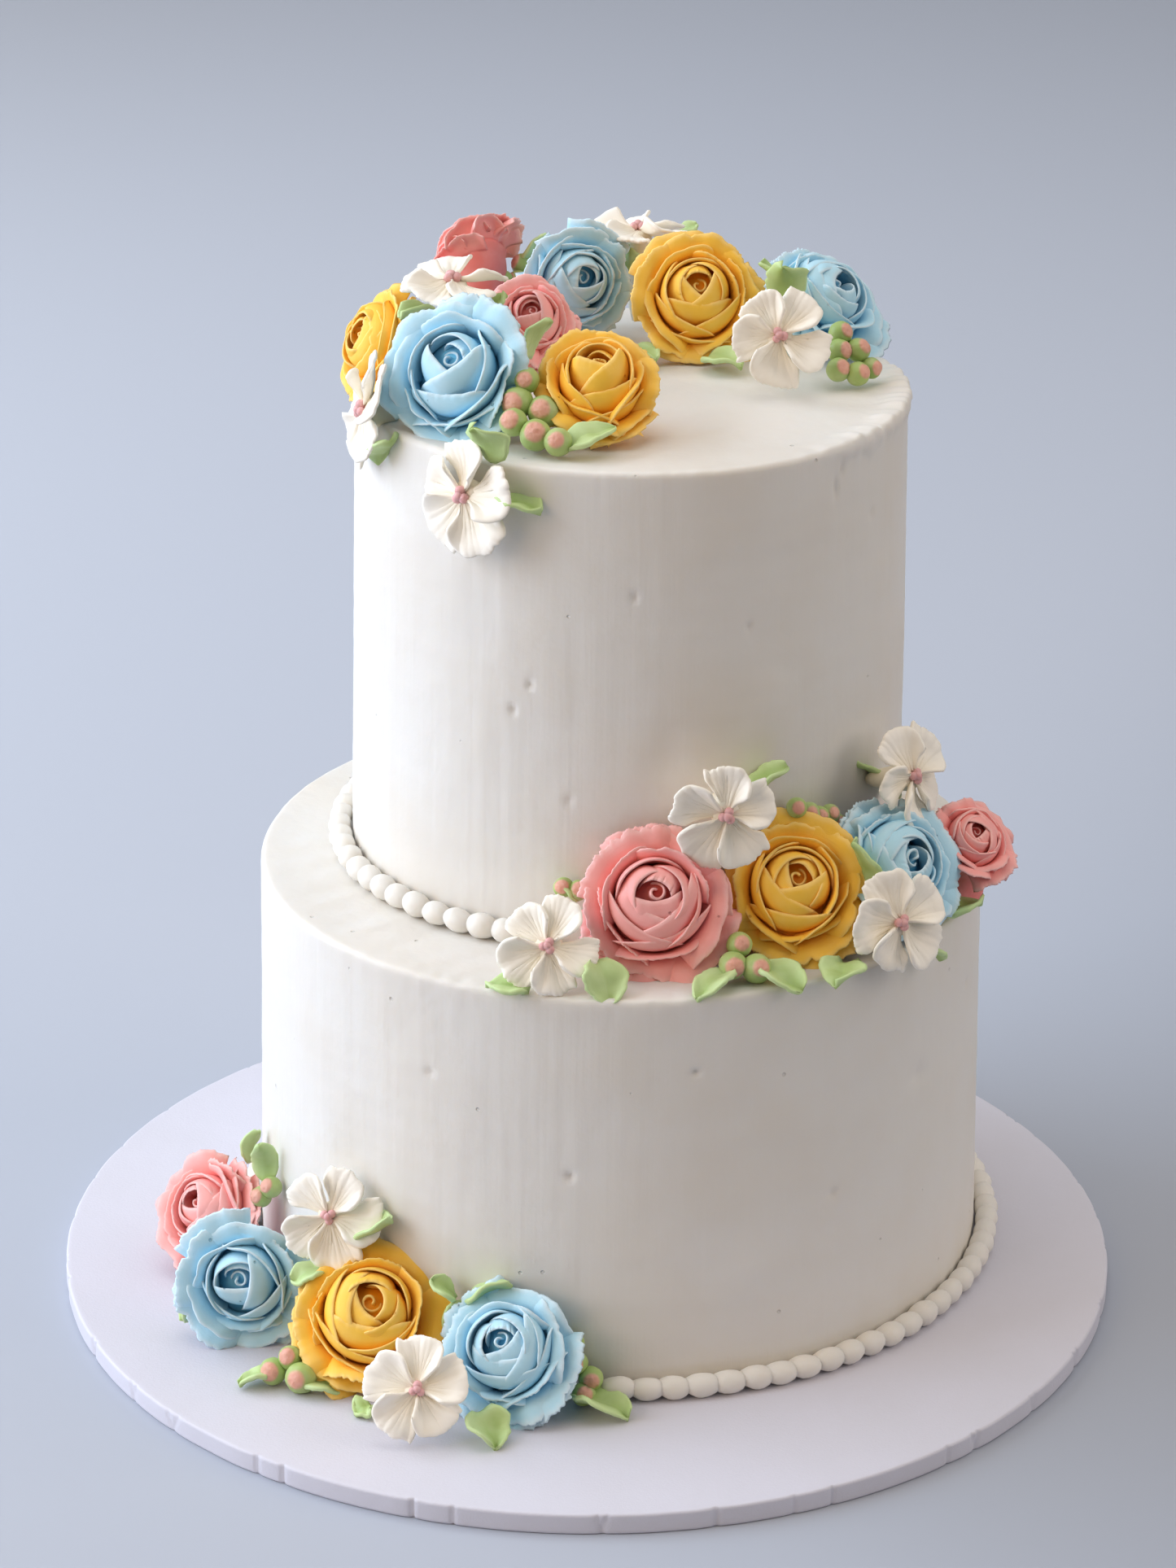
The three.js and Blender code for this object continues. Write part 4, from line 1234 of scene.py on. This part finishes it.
# The floor's flat part, the bend up into its wall, and the wall's top.
FLOOR_RADIUS = 3200
FLOOR_BEND = 1400
WALL_TOP = 3600


def add_light(name, place, towards_point, size, power, colour=WHITE):
    """A soft area light that looks at a point."""
    data = bpy.data.lights.new(name, "AREA")
    data.shape = "RECTANGLE"
    data.size, data.size_y = size
    data.energy = power
    data.color = colour
    lamp = in_scene(name, data)
    lamp.location = place
    lamp.rotation_euler = (Vector(towards_point) - Vector(place)).to_track_quat("-Z", "Y").to_euler()


def make_camera():
    """A long lens in front of the cake, looking down at it."""
    data = bpy.data.cameras.new("camera")
    data.sensor_width = SENSOR
    data.lens = CAMERA_LENS
    down = math.radians(CAMERA_DOWN)
    roll = math.radians(CAMERA_ROLL)
    right = Vector((1, 0, 0))
    back = Vector((0, -math.cos(down), math.sin(down)))
    upward = Vector((0, math.sin(down), math.cos(down)))
    x_axis = right * math.cos(roll) + upward * math.sin(roll)
    y_axis = upward * math.cos(roll) - right * math.sin(roll)
    camera = in_scene("camera", data)
    turned = Matrix((x_axis, y_axis, back)).transposed().to_4x4()
    camera.matrix_world = Matrix.Translation(CAMERA_PLACE) @ turned
    bpy.context.scene.camera = camera


def make_floor():
    """A round pale floor that curves up into a wall far behind, all the way round."""
    bm = new_mesh()
    outline = run((0, 0), (FLOOR_RADIUS, 0), 8)
    outline += arc((FLOOR_RADIUS, FLOOR_BEND), FLOOR_BEND, -90, 0, 12)
    outline.append((FLOOR_RADIUS + FLOOR_BEND, WALL_TOP))
    lathe(bm, outline, 96)
    finished(bm, "stage_floor", stage_paint())


def make_stage():
    """The floor, the camera and soft light, mostly from the left, all placed in metres."""
    bpy.context.scene.view_settings.view_transform = "Standard"
    make_camera()
    make_floor()
    world = bpy.data.worlds.new("studio")
    world.use_nodes = True
    background = world.node_tree.nodes["Background"]
    background.inputs["Color"].default_value = (*tint("#FFF9F3"), 1)
    background.inputs["Strength"].default_value = 0.38
    bpy.context.scene.world = world
    cake = (0, 0, 0.15)
    add_light("window", (-1.35, 0.1, 0.75), cake, (1.6, 1.4), 30, tint("#DDECFF"))
    add_light("room", (-1.2, -1.1, 0.9), cake, (1.2, 1.2), 8.8, tint("#FFDDB3"))
    add_light("overhead", (0, 0.2, 2), (0, 0, 0.1), (1.6, 1.6), 9.5)
    add_light("far_side", (1.6, -0.2, 0.9), cake, (1.2, 1.2), 11, tint("#FFF2E7"))
    add_light("backdrop", (-0.7, 0.9, 1.5), (-0.6, 2.6, 0), (1.2, 1.2), 14)


# ------------------------ operators


class WEDDINGCAKE_OT_stage(bpy.types.Operator):
    """Set the cake on a pale floor under soft light"""

    bl_idname = "weddingcake.stage"
    bl_label = "Stage"

    def execute(self, context):
        make_stage()
        return {"FINISHED"}


class WEDDINGCAKE_OT_board(bpy.types.Operator):
    """Make the paper-wrapped board"""

    bl_idname = "weddingcake.board"
    bl_label = "Board"

    def execute(self, context):
        make_board()
        return {"FINISHED"}


class WEDDINGCAKE_OT_tiers(bpy.types.Operator):
    """Spread the icing on both tiers"""

    bl_idname = "weddingcake.tiers"
    bl_label = "Tiers"

    def execute(self, context):
        make_tier("tier_lower", LOWER, lower_lip, LOWER_MARKS)
        make_tier("tier_upper", UPPER, upper_lip, UPPER_MARKS)
        return {"FINISHED"}


class WEDDINGCAKE_OT_pearls(bpy.types.Operator):
    """Pipe the pearls round the tiers' feet"""

    bl_idname = "weddingcake.pearls"
    bl_label = "Pearls"

    def execute(self, context):
        for node, (tier, start, end) in PEARLS.items():
            make_pearls(node, tier, start, end)
        return {"FINISHED"}


class WEDDINGCAKE_OT_roses(bpy.types.Operator):
    """Pipe the roses"""

    bl_idname = "weddingcake.roses"
    bl_label = "Roses"

    def execute(self, context):
        finishes = {colour: petal_icing(colour) for colour in PETAL_TINTS}
        for name, rose in ROSES.items():
            make_rose(name, rose, finishes)
        return {"FINISHED"}


class WEDDINGCAKE_OT_blossoms(bpy.types.Operator):
    """Pipe the blossoms and their hearts"""

    bl_idname = "weddingcake.blossoms"
    bl_label = "Blossoms"

    def execute(self, context):
        petals = blossom_icing()
        hearts = heart_icing()
        for name, blossom in BLOSSOMS.items():
            make_blossom(name, blossom, petals, hearts)
        return {"FINISHED"}


class WEDDINGCAKE_OT_greens(bpy.types.Operator):
    """Pipe the berries and the leaves"""

    bl_idname = "weddingcake.greens"
    bl_label = "Berries and leaves"

    def execute(self, context):
        berry = berry_icing()
        leaf = leaf_icing()
        for name, sprig in BERRIES.items():
            make_berries(name, sprig, berry, leaf)
        for name, blades in LEAVES.items():
            make_leaves(name + "_piped", blades, leaf, name)
        for name, blades in TUCKED_LEAVES.items():
            make_leaves(name, blades, leaf)
        return {"FINISHED"}


class WEDDINGCAKE_PT_panel(bpy.types.Panel):
    """Lists the cake's sizes, colours and pieces"""

    bl_label = "Wedding Cake"
    bl_idname = "WEDDINGCAKE_PT_panel"
    bl_space_type = "VIEW_3D"
    bl_region_type = "UI"
    bl_category = "Cake"

    def draw(self, context):
        for group in (sizes(), colours()):
            column = self.layout.column(align=True)
            for name in type(group).__annotations__:
                column.prop(group, name)
        for operator in OPERATORS:
            self.layout.operator(operator.bl_idname)


OPERATORS = (
    WEDDINGCAKE_OT_stage,
    WEDDINGCAKE_OT_board,
    WEDDINGCAKE_OT_tiers,
    WEDDINGCAKE_OT_pearls,
    WEDDINGCAKE_OT_roses,
    WEDDINGCAKE_OT_blossoms,
    WEDDINGCAKE_OT_greens,
)
CLASSES = (WeddingCakeSizes, WeddingCakeColours, *OPERATORS, WEDDINGCAKE_PT_panel)


def register():
    """Registers the classes and their properties."""
    for cls in CLASSES:
        bpy.utils.register_class(cls)
    bpy.types.Scene.wedding_cake_sizes = PointerProperty(type=WeddingCakeSizes)
    bpy.types.Scene.wedding_cake_colours = PointerProperty(type=WeddingCakeColours)


def unregister():
    """Takes them away again."""
    del bpy.types.Scene.wedding_cake_colours
    del bpy.types.Scene.wedding_cake_sizes
    for cls in reversed(CLASSES):
        bpy.utils.unregister_class(cls)


def main():
    """Pipes the whole cake."""
    register()
    bpy.ops.weddingcake.stage()
    bpy.ops.weddingcake.board()
    bpy.ops.weddingcake.tiers()
    bpy.ops.weddingcake.pearls()
    bpy.ops.weddingcake.roses()
    bpy.ops.weddingcake.blossoms()
    bpy.ops.weddingcake.greens()


if __name__ == "__main__":
    main()
